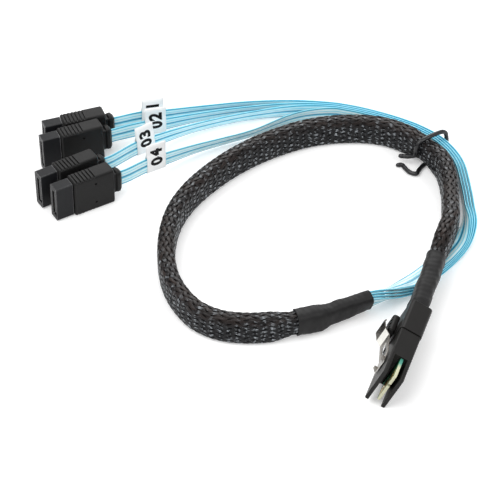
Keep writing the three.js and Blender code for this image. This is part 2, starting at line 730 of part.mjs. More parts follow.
// Seven contacts that stand on one carrier at the bottom of the slot
function contacts() {
  const back = SLOT_DEPTH - FIT;
  const front = back - CARRIER_THICKNESS;
  const carrier = block(
    front, back,
    FIT - SLOT_WIDTH / 2, SLOT_WIDTH / 2 - FIT,
    FIT - SLOT_HEIGHT / 2, SLOT_HEIGHT / 2 - FIT,
  );
  const fingers = Array.from({ length: CONTACTS }, (_, i) => {
    const z = (i - (CONTACTS - 1) / 2) * CONTACT_PITCH;
    return block(
      front - CONTACT_LENGTH, front + CARRIER_THICKNESS / 2,
      SLOT_WIDTH / 2 - FIT - CONTACT_THICKNESS, SLOT_WIDTH / 2 - FIT,
      z - CONTACT_WIDTH / 2, z + CONTACT_WIDTH / 2,
    );
  });
  return join(carrier, ...fingers);
}

function grip() {
  const body = softBlock(gripStart, gripEnd, GRIP_THICKNESS, GRIP_HEIGHT, GRIP_ROUNDING);
  const neck = block(
    gripEnd - GRIP_ROUNDING * 2, gripEnd + NECK_LENGTH + COLLAR_ROUNDING * 2,
    -NECK_THICKNESS / 2, NECK_THICKNESS / 2,
    -NECK_HEIGHT / 2, NECK_HEIGHT / 2,
  );
  const collar = softBlock(
    gripEnd + NECK_LENGTH, collarEnd,
    COLLAR_THICKNESS, COLLAR_HEIGHT, COLLAR_ROUNDING,
  );
  const seat = block(
    collarEnd - RIBBON_SEAT - FIT, collarEnd + 1,
    -RIBBON_THICKNESS / 2 - FIT, RIBBON_THICKNESS / 2 + FIT,
    -RIBBON_WIDTH / 2 - FIT, RIBBON_WIDTH / 2 + FIT,
  );
  const grooves = Array.from({ length: GROOVES }, (_, i) => {
    const x = gripEnd - GROOVE_FROM_CABLE - i * GROOVE_PITCH;
    return [-1, 1].map((end) => {
      const outer = end * (GRIP_HEIGHT / 2 + 1);
      const inner = end * (GRIP_HEIGHT / 2 - GROOVE_DEPTH);
      return block(
        x - GROOVE_WIDTH, x,
        -GRIP_THICKNESS, GRIP_THICKNESS,
        Math.min(outer, inner), Math.max(outer, inner),
      );
    });
  }).flat();
  const dimples = [-1, 1].flatMap((face) => [-1, 1].map((end) => {
    const dimple = new THREE.CylinderGeometry(DIMPLE_RADIUS, DIMPLE_RADIUS, 2 * DIMPLE_DEPTH, 8);
    dimple.translate(gripStart + DIMPLE_FROM_MOUTH, face * GRIP_THICKNESS / 2, end * DIMPLE_SPACING / 2);
    return dimple;
  }));
  return cut(join(body, neck, collar), seat, ...grooves, ...dimples);
}

// Ribbons, from the card in the wide plug to the seats in the drive plugs

// A flat section with cut corners, and a point halfway along each broad face
function flatOutline(thickness, width, corner) {
  const x = thickness / 2;
  const y = width / 2;
  const quarter = [[x, 0], [x, y - corner], [x - corner, y]];
  const upper = [...quarter, ...quarter.slice().reverse().map(([a, b]) => [-a, b])];
  const lower = upper.slice(1, -1).reverse().map(([a, b]) => [a, -b]);
  return new THREE.Shape([...upper, ...lower].map(([a, b]) => new THREE.Vector2(a, b)));
}

const ribbonOutline = flatOutline(RIBBON_THICKNESS, RIBBON_WIDTH, RIBBON_CORNER);

DRIVE_PLUGS.forEach((place, index) => {
  const number = index + 1;
  const group = drivePlugGroup(place);
  add(`sata_${number}_mouth`, mouth(), 'blackPlastic', group);
  add(`sata_${number}_contacts`, contacts(), 'gold', group);
  add(`sata_${number}_grip`, grip(), 'blackPlastic', group);
  object.add(group);

  const together = shifted(trunk, (index - (RIBBONS - 1) / 2) * RIBBON_PITCH);
  const plugPoint = (x) => {
    const point = new THREE.Vector3(x, 0, 0).applyMatrix4(group.matrix);
    return [point.x, point.y, point.z, -place.lean];
  };
  const last = together.slice(-2).map((s) => [s.at.x, s.at.y, s.at.z, 0]);
  const lone = ([x, y, lift, roll]) => [x, y, lift + RIBBON_WIDTH / 2, roll];
  const branch = stationsAlong([
    ...last,
    ...BRANCH_ROUTES[index].map(lone),
    plugPoint(collarEnd + RIBBON_LEAD),
    plugPoint(collarEnd),
    plugPoint(collarEnd - RIBBON_SEAT / 2),
    plugPoint(collarEnd - RIBBON_SEAT),
  ], 1);
  const whole = [...together, ...branch.slice(1)];
  add(`ribbon_${number}`, sweep(ribbonOutline, whole), 'jacket');

  const plugSide = [...branch].reverse();
  const reach = RIBBON_SEAT + LABEL_FROM_PLUG[index];
  const end = plugSide[0].along;
  const seatStation = plugSide.reduce(
    (best, s) => (Math.abs(end - s.along - reach) < Math.abs(end - best.along - reach) ? s : best),
  );
  add(`label_${number}`, label(seatStation, LABEL_TILT[index]), 'paper');
});

// A paper flag whose lower part wraps round the ribbon
function label({ at, side, up, ahead }, tilt) {
  const across = RIBBON_THICKNESS / 2 + LABEL_CLEARANCE;
  const over = RIBBON_WIDTH / 2 + LABEL_CLEARANCE;
  const wrapWidth = 2 * (across + LABEL_PAPER);
  const low = -over - LABEL_PAPER;
  const wrapTop = over + LABEL_PAPER;
  const outline = new THREE.Shape();
  outline.moveTo(-wrapWidth / 2, low);
  outline.lineTo(wrapWidth / 2, low);
  outline.lineTo(wrapWidth / 2, wrapTop);
  outline.lineTo(LABEL_PAPER, wrapTop + LABEL_PAPER);
  outline.lineTo(LABEL_PAPER, low + LABEL_HEIGHT);
  outline.lineTo(-LABEL_PAPER, low + LABEL_HEIGHT);
  outline.lineTo(-LABEL_PAPER, wrapTop + LABEL_PAPER);
  outline.lineTo(-wrapWidth / 2, wrapTop);
  const hole = new THREE.Path();
  hole.moveTo(-across, -over);
  hole.lineTo(-across, over);
  hole.lineTo(across, over);
  hole.lineTo(across, -over);
  outline.holes.push(hole);
  const geometry = new THREE.ExtrudeGeometry(outline, { depth: LABEL_LENGTH, bevelEnabled: false });
  geometry.translate(0, 0, -LABEL_LENGTH / 2);
  const leaning = up.clone().addScaledVector(ahead, Math.tan(THREE.MathUtils.degToRad(tilt)));
  geometry.applyMatrix4(new THREE.Matrix4().makeBasis(side, leaning, ahead));
  geometry.translate(at.x, at.y, at.z);
  return geometry;
}

// Tie: one coated wire that goes once round sleeve and ribbons and ends in two short tails

function twistTie() {
  const here = stationAt(trunk, tieAlong);
  const inward = here.side; // towards the middle of the loop
  const [widthShare, heightShare] = sleeveSize(here.along);
  const returning = abreast(here, sleeveEnd);
  const outerReach = here.at.clone().sub(returning.at).dot(inward) + STACK / 2 + FIT + TIE_RADIUS;
  const innerReach = (SLEEVE_WIDTH * widthShare) / 2 + FIT + TIE_RADIUS;
  const top = here.at.z + (SLEEVE_HEIGHT * heightShare) / 2 + FIT + TIE_RADIUS;
  const bottom = TIE_RADIUS + TIE_LIFT;
  const over = bottom + 3 * TIE_RADIUS; // the upper tail's height, clear of the lower one
  const on = (inwards, z, along = 0) => new THREE.Vector3(here.at.x, here.at.y, 0)
    .addScaledVector(inward, inwards)
    .addScaledVector(here.ahead, along)
    .setZ(z);
  const r = TIE_ROUNDING;
  const points = [
    on(innerReach + 3.4, over, 6.2),
    on(innerReach + 1.8, over, 4.4),
    on(innerReach + 0.7, over + 0.6, 2.6),
    on(innerReach + 0.1, over + 1.6, 1.2),
    on(innerReach, top - r, 0.6),
    on(innerReach - r * 0.35, top - r * 0.35, 0.4),
    on(innerReach - r, top, 0.2),
    on(-outerReach + r, top, -0.2),
    on(-outerReach + r * 0.35, top - r * 0.35, -0.3),
    on(-outerReach, top - r, -0.4),
    on(-outerReach, bottom + r, -0.8),
    on(-outerReach + r * 0.35, bottom + r * 0.35, -0.9),
    on(-outerReach + r, bottom, -1.0),
    on((innerReach - outerReach) / 2, bottom, -1.2),
    on(innerReach - r, bottom, -1.4),
    on(innerReach + 1.2, bottom, -2.6),
    on(innerReach + 3.4, bottom, -3.6),
    on(innerReach + 4.6, bottom, -1.6),
    on(innerReach + 4.4, bottom, 1.2),
    on(innerReach + 4.0, bottom, 3.4),
    on(innerReach + 5.8, bottom, 4.6),
  ];
  const line = new THREE.CatmullRomCurve3(points, false, 'centripetal');
  const circle = new THREE.Shape();
  circle.absarc(0, 0, TIE_RADIUS, 0, 2 * Math.PI);
  return new THREE.ExtrudeGeometry(circle, { steps: 52, extrudePath: line, curveSegments: 4 });
}

add('twist_tie', twistTie(), 'blackPlastic');

object.position.set(-MIDDLE.x, -MIDDLE.y, 0);
export default object;
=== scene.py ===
"""A breakout cable: one wide board plug, a braided sleeve, four clear blue ribbons and four drive plugs.

Lengths of the cable are millimetres in the table frame, and place() turns them into metres in the
part's own frame. The materials and the lights are in metres.
"""

import math

import bmesh
import bpy
import numpy as np
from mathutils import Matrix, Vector


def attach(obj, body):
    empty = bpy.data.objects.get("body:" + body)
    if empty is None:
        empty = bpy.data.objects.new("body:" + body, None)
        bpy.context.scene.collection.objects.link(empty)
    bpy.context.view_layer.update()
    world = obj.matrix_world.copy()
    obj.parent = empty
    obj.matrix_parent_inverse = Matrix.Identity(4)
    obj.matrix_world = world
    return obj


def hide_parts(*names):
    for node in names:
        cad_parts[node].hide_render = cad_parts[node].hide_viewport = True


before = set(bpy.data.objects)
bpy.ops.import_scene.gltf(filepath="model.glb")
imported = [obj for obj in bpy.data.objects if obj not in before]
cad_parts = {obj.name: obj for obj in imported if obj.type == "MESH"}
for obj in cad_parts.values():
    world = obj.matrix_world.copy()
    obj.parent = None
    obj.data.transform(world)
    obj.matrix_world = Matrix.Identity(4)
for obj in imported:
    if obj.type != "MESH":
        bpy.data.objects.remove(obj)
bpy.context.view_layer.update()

MM = 0.001
MIDDLE = np.array([3.72, -2.3, 0.0])
UP = np.array([0.0, 0.0, 1.0])
CABLE = "cable"
LATCH = "latch"


def place(points):
    """Table millimetres to metres in the part's frame."""
    return (np.asarray(points, dtype=float) - MIDDLE) * MM


def added(name, data):
    """A new object in the scene."""
    item = bpy.data.objects.new(name, data)
    bpy.context.scene.collection.objects.link(item)
    return item


# Camera, at the photograph's angle

PICTURE = 488
FOCAL_PIXELS = 2100
ELEVATION = math.radians(40.4)
DISTANCE = 719.2
SENSOR = 36.0

target = Vector(place([0, 0, 0]))
to_camera = Vector((0, -math.cos(ELEVATION), math.sin(ELEVATION)))
lens = bpy.data.cameras.new("camera")
lens.sensor_width = SENSOR
lens.lens = FOCAL_PIXELS / PICTURE * SENSOR
lens.clip_start = 0.01
lens.clip_end = 10
camera = added("camera", lens)
camera.location = target + to_camera * DISTANCE * MM
camera.rotation_euler = (-to_camera).to_track_quat("-Z", "Y").to_euler()
bpy.context.scene.camera = camera

# Sizes of the cable, as in the solids

FIT = 0.3
RIBBONS = 4
RIBBON_WIDTH = 6.0
RIBBON_PITCH = 1.0
STACK = 3.7
LONGEST_STEP = 14
LARGEST_BEND = 18
LARGEST_TWIST = 10
SLEEVE_WIDTH = 6.2
SLEEVE_HEIGHT = 10.8
SLEEVE_LENGTH = 283
SLEEVE_TAPER = 9
SLEEVE_WAIST = 8.0
SLEEVE_WAIST_REACH = 9
SLEEVE_END = (5.3, 7.6)
SHRINK_OVER_SLEEVE = 7
PLUG_SHRINK_LENGTH = 29
BREAKOUT_SHRINK_LENGTH = 27
SHRINK_WALL = 0.4
SHRINK_WIDE = (6.7, 9.0)
SHRINK_NARROW = (5.2, 7.5)
SHRINK_STEP = 6
RIBBON_SEAT = 9.0
RIBBON_LEAD = 3.0

PLUG_AT = (54.6, -46.7)
PLUG_HEADING = 251.4
PLUG_LEAN = 23
PLUG_WIDTH = 15.4
PLUG_THICKNESS = 7.7
BACKSHELL_CORNER = 1.3
BACKSHELL_LENGTH = 13.6
PLUG_EXIT = 3
NOSE_LENGTH = 20.6
CARD_TAIL = 5.0
CARD_THICKNESS = 1.0
CARD_OFFSET = 0.6
CARD_SETBACK = 1.0
# Where the card edge's painted shade ends: blue-green up to the first place, the pale core from the second
# on.
CARD_SHADE_TO = 27.6
CARD_UNSHADED_FROM = 29.4

# The drive plugs by x, y, heading and tilt, and the flags on their ribbons

DRIVE_PLUGS = [
    (-71.6, 49.6, 20, 0), (-71.8, 41.0, 23.2, 2), (-71.4, 20.6, 32.5, 0), (-65.7, 13.5, 31.4, -1.5),
]
COLLAR_END = 26.0
GRIP_HEIGHT = 14.5
GRIP_THICKNESS = 6.1
LABEL_FROM_PLUG = [15.5, 18.3, 20, 16.8]
LABEL_TILT = [9, 11, 12, 9]
LABEL_LENGTH = 8.4

TIE_RADIUS = 0.75
TIE_LIFT = 0.16
TIE_AT = 96
TIE_ROUNDING = 2.1

# Route of the cable's middle: x, y, height of the bundle's underside, roll

SLEEVE_ROUTE = [
    (57.3, -39.0, 3.9, 19), (59.7, -31.8, 4.0, 13), (62.1, -24.3, 4.3, 7), (64.5, -16.5, 4.6, 2),
    (67.5, -7.9, 4.2, 0), (70.2, 1.0, 4.0, 0), (70.9, 9.5, 2.5, 0), (71.7, 23.6, 0.5, 0),
    (70.2, 35.9, 0.4, 0), (65.4, 44.4, 0.6, 0), (59.3, 50.9, 0.2, 0), (52.7, 55.4, 0.05, 0),
    (45.6, 57.5, 0.05, 0), (34.7, 57.7, 0.05, 0), (23.8, 55.5, 0.05, 0), (12.9, 50.5, 0.05, 0),
    (2.1, 43.3, 0.05, 0), (-8.5, 33.3, 0.05, 0), (-18.8, 19.4, 0.05, 0), (-24.2, 6.5, 0.05, 0),
    (-26.2, -9.2, 0.05, 0), (-24.7, -24.4, 0.05, 0), (-21.0, -34.3, 0.05, 0), (-15.3, -42.3, 0.05, 0),
    (-7.8, -46.9, 0.05, 0), (0.3, -48.3, 0.05, 0), (8.4, -47.8, 0.05, 0), (17.5, -45.5, 0.1, 0),
]
BREAKOUT_ROUTE = [
    (26.4, -41.7, 0.3, 0), (34.7, -37.3, 0.3, 6), (42.1, -33.4, 0.3, 25), (50.0, -28.4, 0.2, 62),
    (56.3, -22.9, 0.2, 90), (62.4, -16.8, 0.2, 90), (68.6, -9.8, 0.2, 90), (73.6, -2.8, 0.2, 78),
    (76.8, 4.8, 0.2, 38), (77.8, 13.0, 0.2, 6), (77.7, 24.0, 0.3, 0), (75.8, 37.3, 1.6, 0),
    (70.3, 47.7, 2.3, 0), (63.2, 55.3, 2.0, 0), (56.2, 60.7, 1.4, 0), (49.4, 65.0, 0.8, 0),
    (42.0, 68.8, 0.3, 0), (34.5, 71.4, 0.1, 0),
]
BRANCH_ROUTES = [
    [(20.0, 75.0, 0.2, -10), (2.2, 75.2, 0.2, -22), (-17.3, 71.7, 0.4, -20), (-28.9, 67.4, 1.5, -10),
     (-37.6, 63.6, 3.0, 0)],
    [(20.0, 73.5, 0.1, -10), (2.2, 72.2, 0.2, -22), (-17.2, 67.5, 0.4, -20), (-28.8, 62.1, 1.5, -10),
     (-37.6, 57.3, 3.0, 0)],
    [(20.0, 71.9, 0.2, -10), (2.2, 68.8, 0.2, -22), (-17.1, 61.6, 0.4, -20), (-30.0, 53.0, 1.7, -10),
     (-38.4, 45.6, 3.1, 0)],
    [(20.0, 68.2, 0.2, -14), (2.2, 57.9, 0.2, -26), (-8.7, 53.0, 0.2, -24), (-17.2, 48.6, 0.6, -18),
     (-26.1, 42.6, 1.5, -8), (-34.4, 35.6, 3.0, 0)],
]
SHRINK_POINTS = 4
BREAKOUT_POINTS = 3
SAMPLES = 24
TABLE_CLEARANCE = 0.01

# Lines


def unit(vectors):
    return vectors / np.linalg.norm(vectors, axis=-1, keepdims=True)


def smooth_line(points, first=0):
    """Points, directions and rolls along a centripetal spline, from a control point on."""
    table = np.array(points, dtype=float)
    table = np.vstack([2 * table[0] - table[1], table, 2 * table[-1] - table[-2]])
    at, ahead, roll = [], [], []
    spans = len(points) - 1
    for k in range(first, spans):
        near = table[k:k + 4]
        x0, x1, x2, x3 = near[:, :3]
        d0, d1, d2 = np.sum(np.diff(near[:, :3], axis=0) ** 2, axis=1) ** 0.25
        t1 = ((x1 - x0) / d0 - (x2 - x0) / (d0 + d1) + (x2 - x1) / d1) * d1
        t2 = ((x2 - x1) / d1 - (x3 - x1) / (d1 + d2) + (x3 - x2) / d2) * d1
        r0, r1, r2, r3 = near[:, 3]
        u1, u2 = (r2 - r0) / 2, (r3 - r1) / 2
        for j in range(SAMPLES + (k == spans - 1)):
            w = j / SAMPLES
            h = (
                2 * w ** 3 - 3 * w ** 2 + 1,
                w ** 3 - 2 * w ** 2 + w,
                -2 * w ** 3 + 3 * w ** 2,
                w ** 3 - w ** 2,
            )
            g = (6 * w ** 2 - 6 * w, 3 * w ** 2 - 4 * w + 1, 6 * w - 6 * w ** 2, 3 * w ** 2 - 2 * w)
            at.append(h[0] * x1 + h[1] * t1 + h[2] * x2 + h[3] * t2)
            ahead.append(g[0] * x1 + g[1] * t1 + g[2] * x2 + g[3] * t2)
            roll.append(h[0] * r1 + h[1] * u1 + h[2] * r2 + h[3] * u2)
    return np.array(at), unit(np.array(ahead)), np.array(roll)


def run_along(at, ahead, roll):
    """A run of cross-sections, kept upright apart from their roll."""
    level = unit(np.cross(UP, ahead))
    upright = np.cross(ahead, level)
    turn = np.radians(roll)[:, None]
    steps = np.linalg.norm(np.diff(at, axis=0), axis=1)
    return {
        "at": at,
        "ahead": ahead,
        "side": level * np.cos(turn) + upright * np.sin(turn),
        "up": upright * np.cos(turn) - level * np.sin(turn),
        "roll": roll,
        "along": np.concatenate([[0], np.cumsum(steps)]),
    }


def columns_at(where, distances, table):
    """A table of three columns, read at distances between its rows."""
    return np.stack([np.interp(where, distances, table[:, axis]) for axis in range(3)], axis=-1)


def sampled(run, along):
    """The run's cross-sections at given distances along it."""
    along = np.asarray(along, dtype=float)
    out = {"along": along}
    for key in ("at", "ahead", "side", "up"):
        out[key] = columns_at(along, run["along"], run[key])
    for key in ("ahead", "side", "up"):
        out[key] = unit(out[key])
    return out


def station(run, along):
    """The run's cross-section at one distance along it."""
    return {key: value[0] for key, value in sampled(run, [along]).items()}


def ring_points(stations, sideways, upward):
    """A ring of points round each cross-section, by their distances from its middle."""
    return (
        stations["at"][:, None]
        + stations["side"][:, None] * sideways[..., None]
        + stations["up"][:, None] * upward[..., None]
    )


def last_solid_station(run):
    """The place of the solids' last cross-section but one, where each ribbon's own line takes over."""
    steps = np.diff(run["along"])
    bends = np.degrees(np.arccos(np.clip(np.sum(run["ahead"][1:] * run["ahead"][:-1], axis=1), -1, 1)))
    turns = np.abs(np.diff(run["roll"]))
    effort = np.cumsum(steps / LONGEST_STEP + bends / LARGEST_BEND + turns / LARGEST_TWIST)
    count = math.ceil(effort[-1])
    return int(np.argmax(effort >= effort[-1] * (count - 1) / count - 1e-9)) + 1


def turned(heading, lean, position):
    """A frame as its axes (x ahead, y across, z up) and its place."""
    h, a = math.radians(heading), math.radians(lean)
    x = np.array([math.cos(h), math.sin(h), 0])
    y0 = np.array([-math.sin(h), math.cos(h), 0])
    y = y0 * math.cos(a) - UP * math.sin(a)
    z = y0 * math.sin(a) + UP * math.cos(a)
    return np.array([x, y, z]), np.array(position, dtype=float)


def on(frame_of, points):
    """Points of a turned frame, in the table frame."""
    axes, position = frame_of
    return np.asarray(points, dtype=float) @ axes + position


lean = math.radians(PLUG_LEAN)
plug_height = (
    (PLUG_WIDTH / 2 - BACKSHELL_CORNER) * math.cos(lean)
    + (PLUG_THICKNESS / 2 - BACKSHELL_CORNER) * math.sin(lean)
    + BACKSHELL_CORNER
)
wide_plug = turned(PLUG_HEADING, PLUG_LEAN, (*PLUG_AT, plug_height))
ribbon_end = BACKSHELL_LENGTH - CARD_TAIL - FIT


def drive_plug(x, y, heading, tilt):
    """The frame of a drive plug that stands on the table."""
    a = math.radians(tilt)
    lift = GRIP_THICKNESS / 2 * abs(math.sin(a))
    return turned(heading, tilt, (x, y, lift + GRIP_HEIGHT / 2 * math.cos(a)))


def bare_height(roll):
    """Height of the bare ribbons, stacked and rolled together."""
    a = math.radians(roll)
    return RIBBON_WIDTH * abs(math.cos(a)) + STACK * abs(math.sin(a))


def lifted(points, height):
    """A route's points at half the bundle's height."""
    return [(x, y, lift + (height or bare_height(roll)) / 2, roll) for x, y, lift, roll in points]


trunk = run_along(*smooth_line([
    *[(*on(wide_plug, (x, 0, 0)), PLUG_LEAN) for x in (ribbon_end, ribbon_end / 2, 0, -PLUG_EXIT)],
    *lifted(SLEEVE_ROUTE[:SHRINK_POINTS], SHRINK_WIDE[1]),
    *lifted(SLEEVE_ROUTE[SHRINK_POINTS:], SLEEVE_HEIGHT),
    *lifted(BREAKOUT_ROUTE[:BREAKOUT_POINTS], SHRINK_WIDE[1]),
    *lifted(BREAKOUT_ROUTE[BREAKOUT_POINTS:], None),
]))
shrink_start = ribbon_end + FIT
shrink_end = shrink_start + PLUG_SHRINK_LENGTH
sleeve_start = shrink_end - SHRINK_OVER_SLEEVE
sleeve_end = sleeve_start + SLEEVE_LENGTH
breakout_start = sleeve_end - SHRINK_OVER_SLEEVE
breakout_end = breakout_start + BREAKOUT_SHRINK_LENGTH
tie_along = ribbon_end + TIE_AT

# Meshes


def quads(rings, columns, loop=False):
    """Faces between rings of points."""
    faces = []
    last = rings if loop else rings - 1
    for k in range(last):
        a, b = k * columns, ((k + 1) % rings) * columns
        for j in range(columns):
            n = (j + 1) % columns
            faces.append((a + j, a + n, b + n, b + j))
    return faces


def tube(rings, loop=False):
    """Points and faces of a closed tube through rings of points, its face normals outward."""
    count, columns = rings.shape[:2]
    points = rings.reshape(-1, 3)
    faces = quads(count, columns, loop)
    if not loop:
        faces.append(tuple(range(columns - 1, -1, -1)))
        faces.append(tuple((count - 1) * columns + j for j in range(columns)))
    corners = points[np.array([face[:3] for face in faces])]
    rest = points[np.array([(face[0], face[2], face[3 % len(face)]) for face in faces])]
    volume = 0
    for c in (corners, rest):
        volume += np.einsum("ij,ij->i", c[:, 0], np.cross(c[:, 1], c[:, 2])).sum()
    if volume < 0:
        faces = [face[::-1] for face in faces]
    return points, faces


def merged(parts):
    """Several (points, faces) pairs as one."""
    points, faces, start = [], [], 0
    for some, many in parts:
        points.append(some)
        faces.extend([tuple(i + start for i in face) for face in many])
        start += len(some)
    return np.vstack(points), faces


def make(name, points, faces, material, values=None, smooth=True):
    """A piece of the object from points and faces, with its finish and the body that it rides on."""
    mesh = bpy.data.meshes.new(name)
    points = np.array(points, dtype=float)
    points[:, 2] = np.maximum(points[:, 2], TABLE_CLEARANCE)
    mesh.from_pydata(place(points).tolist(), [], faces)
    for key, numbers in (values or {}).items():
        layer = mesh.attributes.new(key, "FLOAT", "POINT")
        layer.data.foreach_set("value", np.asarray(numbers, dtype=np.float32))
    mesh.polygons.foreach_set("use_smooth", [smooth] * len(mesh.polygons))
    mesh.update()
    piece = added(name, mesh)
    piece.data.materials.append(material)
    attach(piece, CABLE)
    return piece


# Materials

NOISE_LOW = 0.3
NOISE_HIGH = 0.7

# The mix node's sockets for colours, by number

MIX_SHARE, MIX_ONE, MIX_TWO, MIX_RESULT = 0, 6, 7, 2


def node_material(name):
    """A new material with its nodes and its main shader."""
    material = bpy.data.materials.new(name)
    material.use_nodes = True
    tree = material.node_tree
    shader = next(n for n in tree.nodes if n.type == "BSDF_PRINCIPLED")
    return material, tree, shader


def feed(tree, socket, value):
    """Links a socket to another node's, or sets it."""
    if isinstance(value, bpy.types.NodeSocket):
        tree.links.new(value, socket)
    else:
        socket.default_value = value


def calc(tree, operation, a, b=0.0):
    """A number worked out from one or two others."""
    node = tree.nodes.new("ShaderNodeMath")
    node.operation = operation
    for socket, value in zip(node.inputs, (a, b)):
        feed(tree, socket, value)
    return node.outputs[0]


def dot_product(tree, one, two):
    node = tree.nodes.new("ShaderNodeVectorMath")
    node.operation = "DOT_PRODUCT"
    for socket, value in zip(node.inputs, (one, two)):
        feed(tree, socket, value)
    return node.outputs["Value"]


def remap(tree, value, low, high, to_low=0.0, to_high=1.0):
    """A number moved from one range to another, and held inside it."""
    node = tree.nodes.new("ShaderNodeMapRange")
    tree.links.new(value, node.inputs["Value"])
    for key, number in (("From Min", low), ("From Max", high), ("To Min", to_low), ("To Max", to_high)):
        node.inputs[key].default_value = number
    return node.outputs["Result"]


def mixed(tree, share, one, two):
    """A colour between two others."""
    node = tree.nodes.new("ShaderNodeMix")
    node.data_type = "RGBA"
    feed(tree, node.inputs[MIX_SHARE], share)
    for socket, colour in ((node.inputs[MIX_ONE], one), (node.inputs[MIX_TWO], two)):
        feed(tree, socket, colour if isinstance(colour, bpy.types.NodeSocket) else (*colour, 1))
    return node.outputs[MIX_RESULT]


def painted(tree, shader, share, one, two):
    """Gives the shader a colour between two others."""
    tree.links.new(mixed(tree, share, one, two), shader.inputs["Base Color"])


def roughened(tree, shader, share, low, high):
    """Gives the shader a roughness that follows a noise."""
    tree.links.new(remap(tree, share, NOISE_LOW, NOISE_HIGH, low, high), shader.inputs["Roughness"])


def place_in_object(tree, stretch=(1, 1, 1)):
    coordinates = tree.nodes.new("ShaderNodeTexCoord")
    mapping = tree.nodes.new("ShaderNodeMapping")
    mapping.inputs["Scale"].default_value = stretch
    tree.links.new(coordinates.outputs["Object"], mapping.inputs["Vector"])
    return mapping.outputs["Vector"]


def noise(tree, scale, detail=3.0, stretch=(1, 1, 1), roughness=0.5):
    node = tree.nodes.new("ShaderNodeTexNoise")
    node.inputs["Scale"].default_value = scale
    node.inputs["Detail"].default_value = detail
    node.inputs["Roughness"].default_value = roughness
    tree.links.new(place_in_object(tree, stretch), node.inputs["Vector"])
    return node.outputs["Fac"]


def attribute(tree, name):
    node = tree.nodes.new("ShaderNodeAttribute")
    node.attribute_name = name
    return node.outputs["Fac"]


def bumped(tree, shader, height, strength, distance):
    node = tree.nodes.new("ShaderNodeBump")
    node.inputs["Strength"].default_value = strength
    node.inputs["Distance"].default_value = distance
    tree.links.new(height, node.inputs["Height"])
    tree.links.new(node.outputs["Normal"], shader.inputs["Normal"])


def surface_normal(tree):
    return tree.nodes.new("ShaderNodeNewGeometry").outputs["Normal"]


def edge_share(tree, radius):
    """1 on sharp edges and 0 on flats."""
    bevel = tree.nodes.new("ShaderNodeBevel")
    bevel.samples = 4
    bevel.inputs["Radius"].default_value = radius
    return remap(tree, dot_product(tree, bevel.outputs["Normal"], surface_normal(tree)), 0.99, 0.8)


def facing(tree, direction):
    """How far the surface faces a direction, from -1 to 1."""
    return dot_product(tree, surface_normal(tree), direction)


def moulded_plastic(name, base, worn, grain_scale, edge=0.00022):
    """Injection-moulded black plastic: fine grain, faint mottling, and edges painted paler, partly as wear
    and partly as a painted highlight where light would catch them.
    """
    material, tree, shader = node_material(name)
    grain = noise(tree, grain_scale, 2.0)
    patches = noise(tree, 260.0, 3.0)
    # Painted highlight and wear on the edges: the paler edge colour is mixed in over sharp edges, in
    # patches.
    wear = remap(tree, patches, NOISE_LOW, NOISE_HIGH, 0.4, 1.0)
    edges = calc(tree, "MULTIPLY", edge_share(tree, edge), wear)
    mottled = mixed(tree, patches, [c * 0.8 for c in base], [c * 1.25 for c in base])
    painted(tree, shader, edges, mottled, worn)
    shader.inputs["Specular IOR Level"].default_value = 0.16
    roughened(tree, shader, grain, 0.34, 0.5)
    bumped(tree, shader, grain, 0.35, 0.00002)
    return material


def shrink_rubber():
    material, tree, shader = node_material("heat_shrink")
    patches = noise(tree, 420.0, 4.0, roughness=0.6)
    fine = noise(tree, 5200.0, 2.0)
    painted(tree, shader, patches, (0.006, 0.006, 0.0065), (0.016, 0.0155, 0.0155))
    shader.inputs["Specular IOR Level"].default_value = 0.2
    roughened(tree, shader, patches, 0.42, 0.6)
    bumped(tree, shader, calc(tree, "ADD", calc(tree, "MULTIPLY", patches, 4.0), fine), 0.5, 0.00005)
    return material


def braid_filament():
    material, tree, shader = node_material("braid_filament")
    tone = attribute(tree, "tone")
    warm = attribute(tree, "warm")
    cool = mixed(tree, tone, (0.003, 0.003, 0.0035), (0.012, 0.0125, 0.014))
    brown = mixed(tree, tone, (0.007, 0.0045, 0.004), (0.022, 0.0145, 0.012))
    streak = noise(tree, 3000.0, 2.0)
    # Painted highlights: pale grey spots painted on the strands' crests where lamps would glint.
    painted_glint = calc(
        tree, "MULTIPLY", attribute(tree, "painted_glint"), remap(tree, noise(tree, 900.0, 3.0), 0.5, 0.6))
    thread = mixed(tree, warm, cool, brown)
    painted(tree, shader, painted_glint, thread, (0.58, 0.62, 0.66))
    shader.inputs["Specular IOR Level"].default_value = 0.17
    roughened(tree, shader, streak, 0.22, 0.36)
    bumped(tree, shader, streak, 0.3, 0.00002)
    return material


RIM_AT = 0.88
LOBE_MIDDLE = 0.48
WIRE_FROM_MIDDLE = 0.17


def apart(tree, value, other):
    """How far a number is from another."""
    return calc(tree, "ABSOLUTE", calc(tree, "SUBTRACT", value, other))


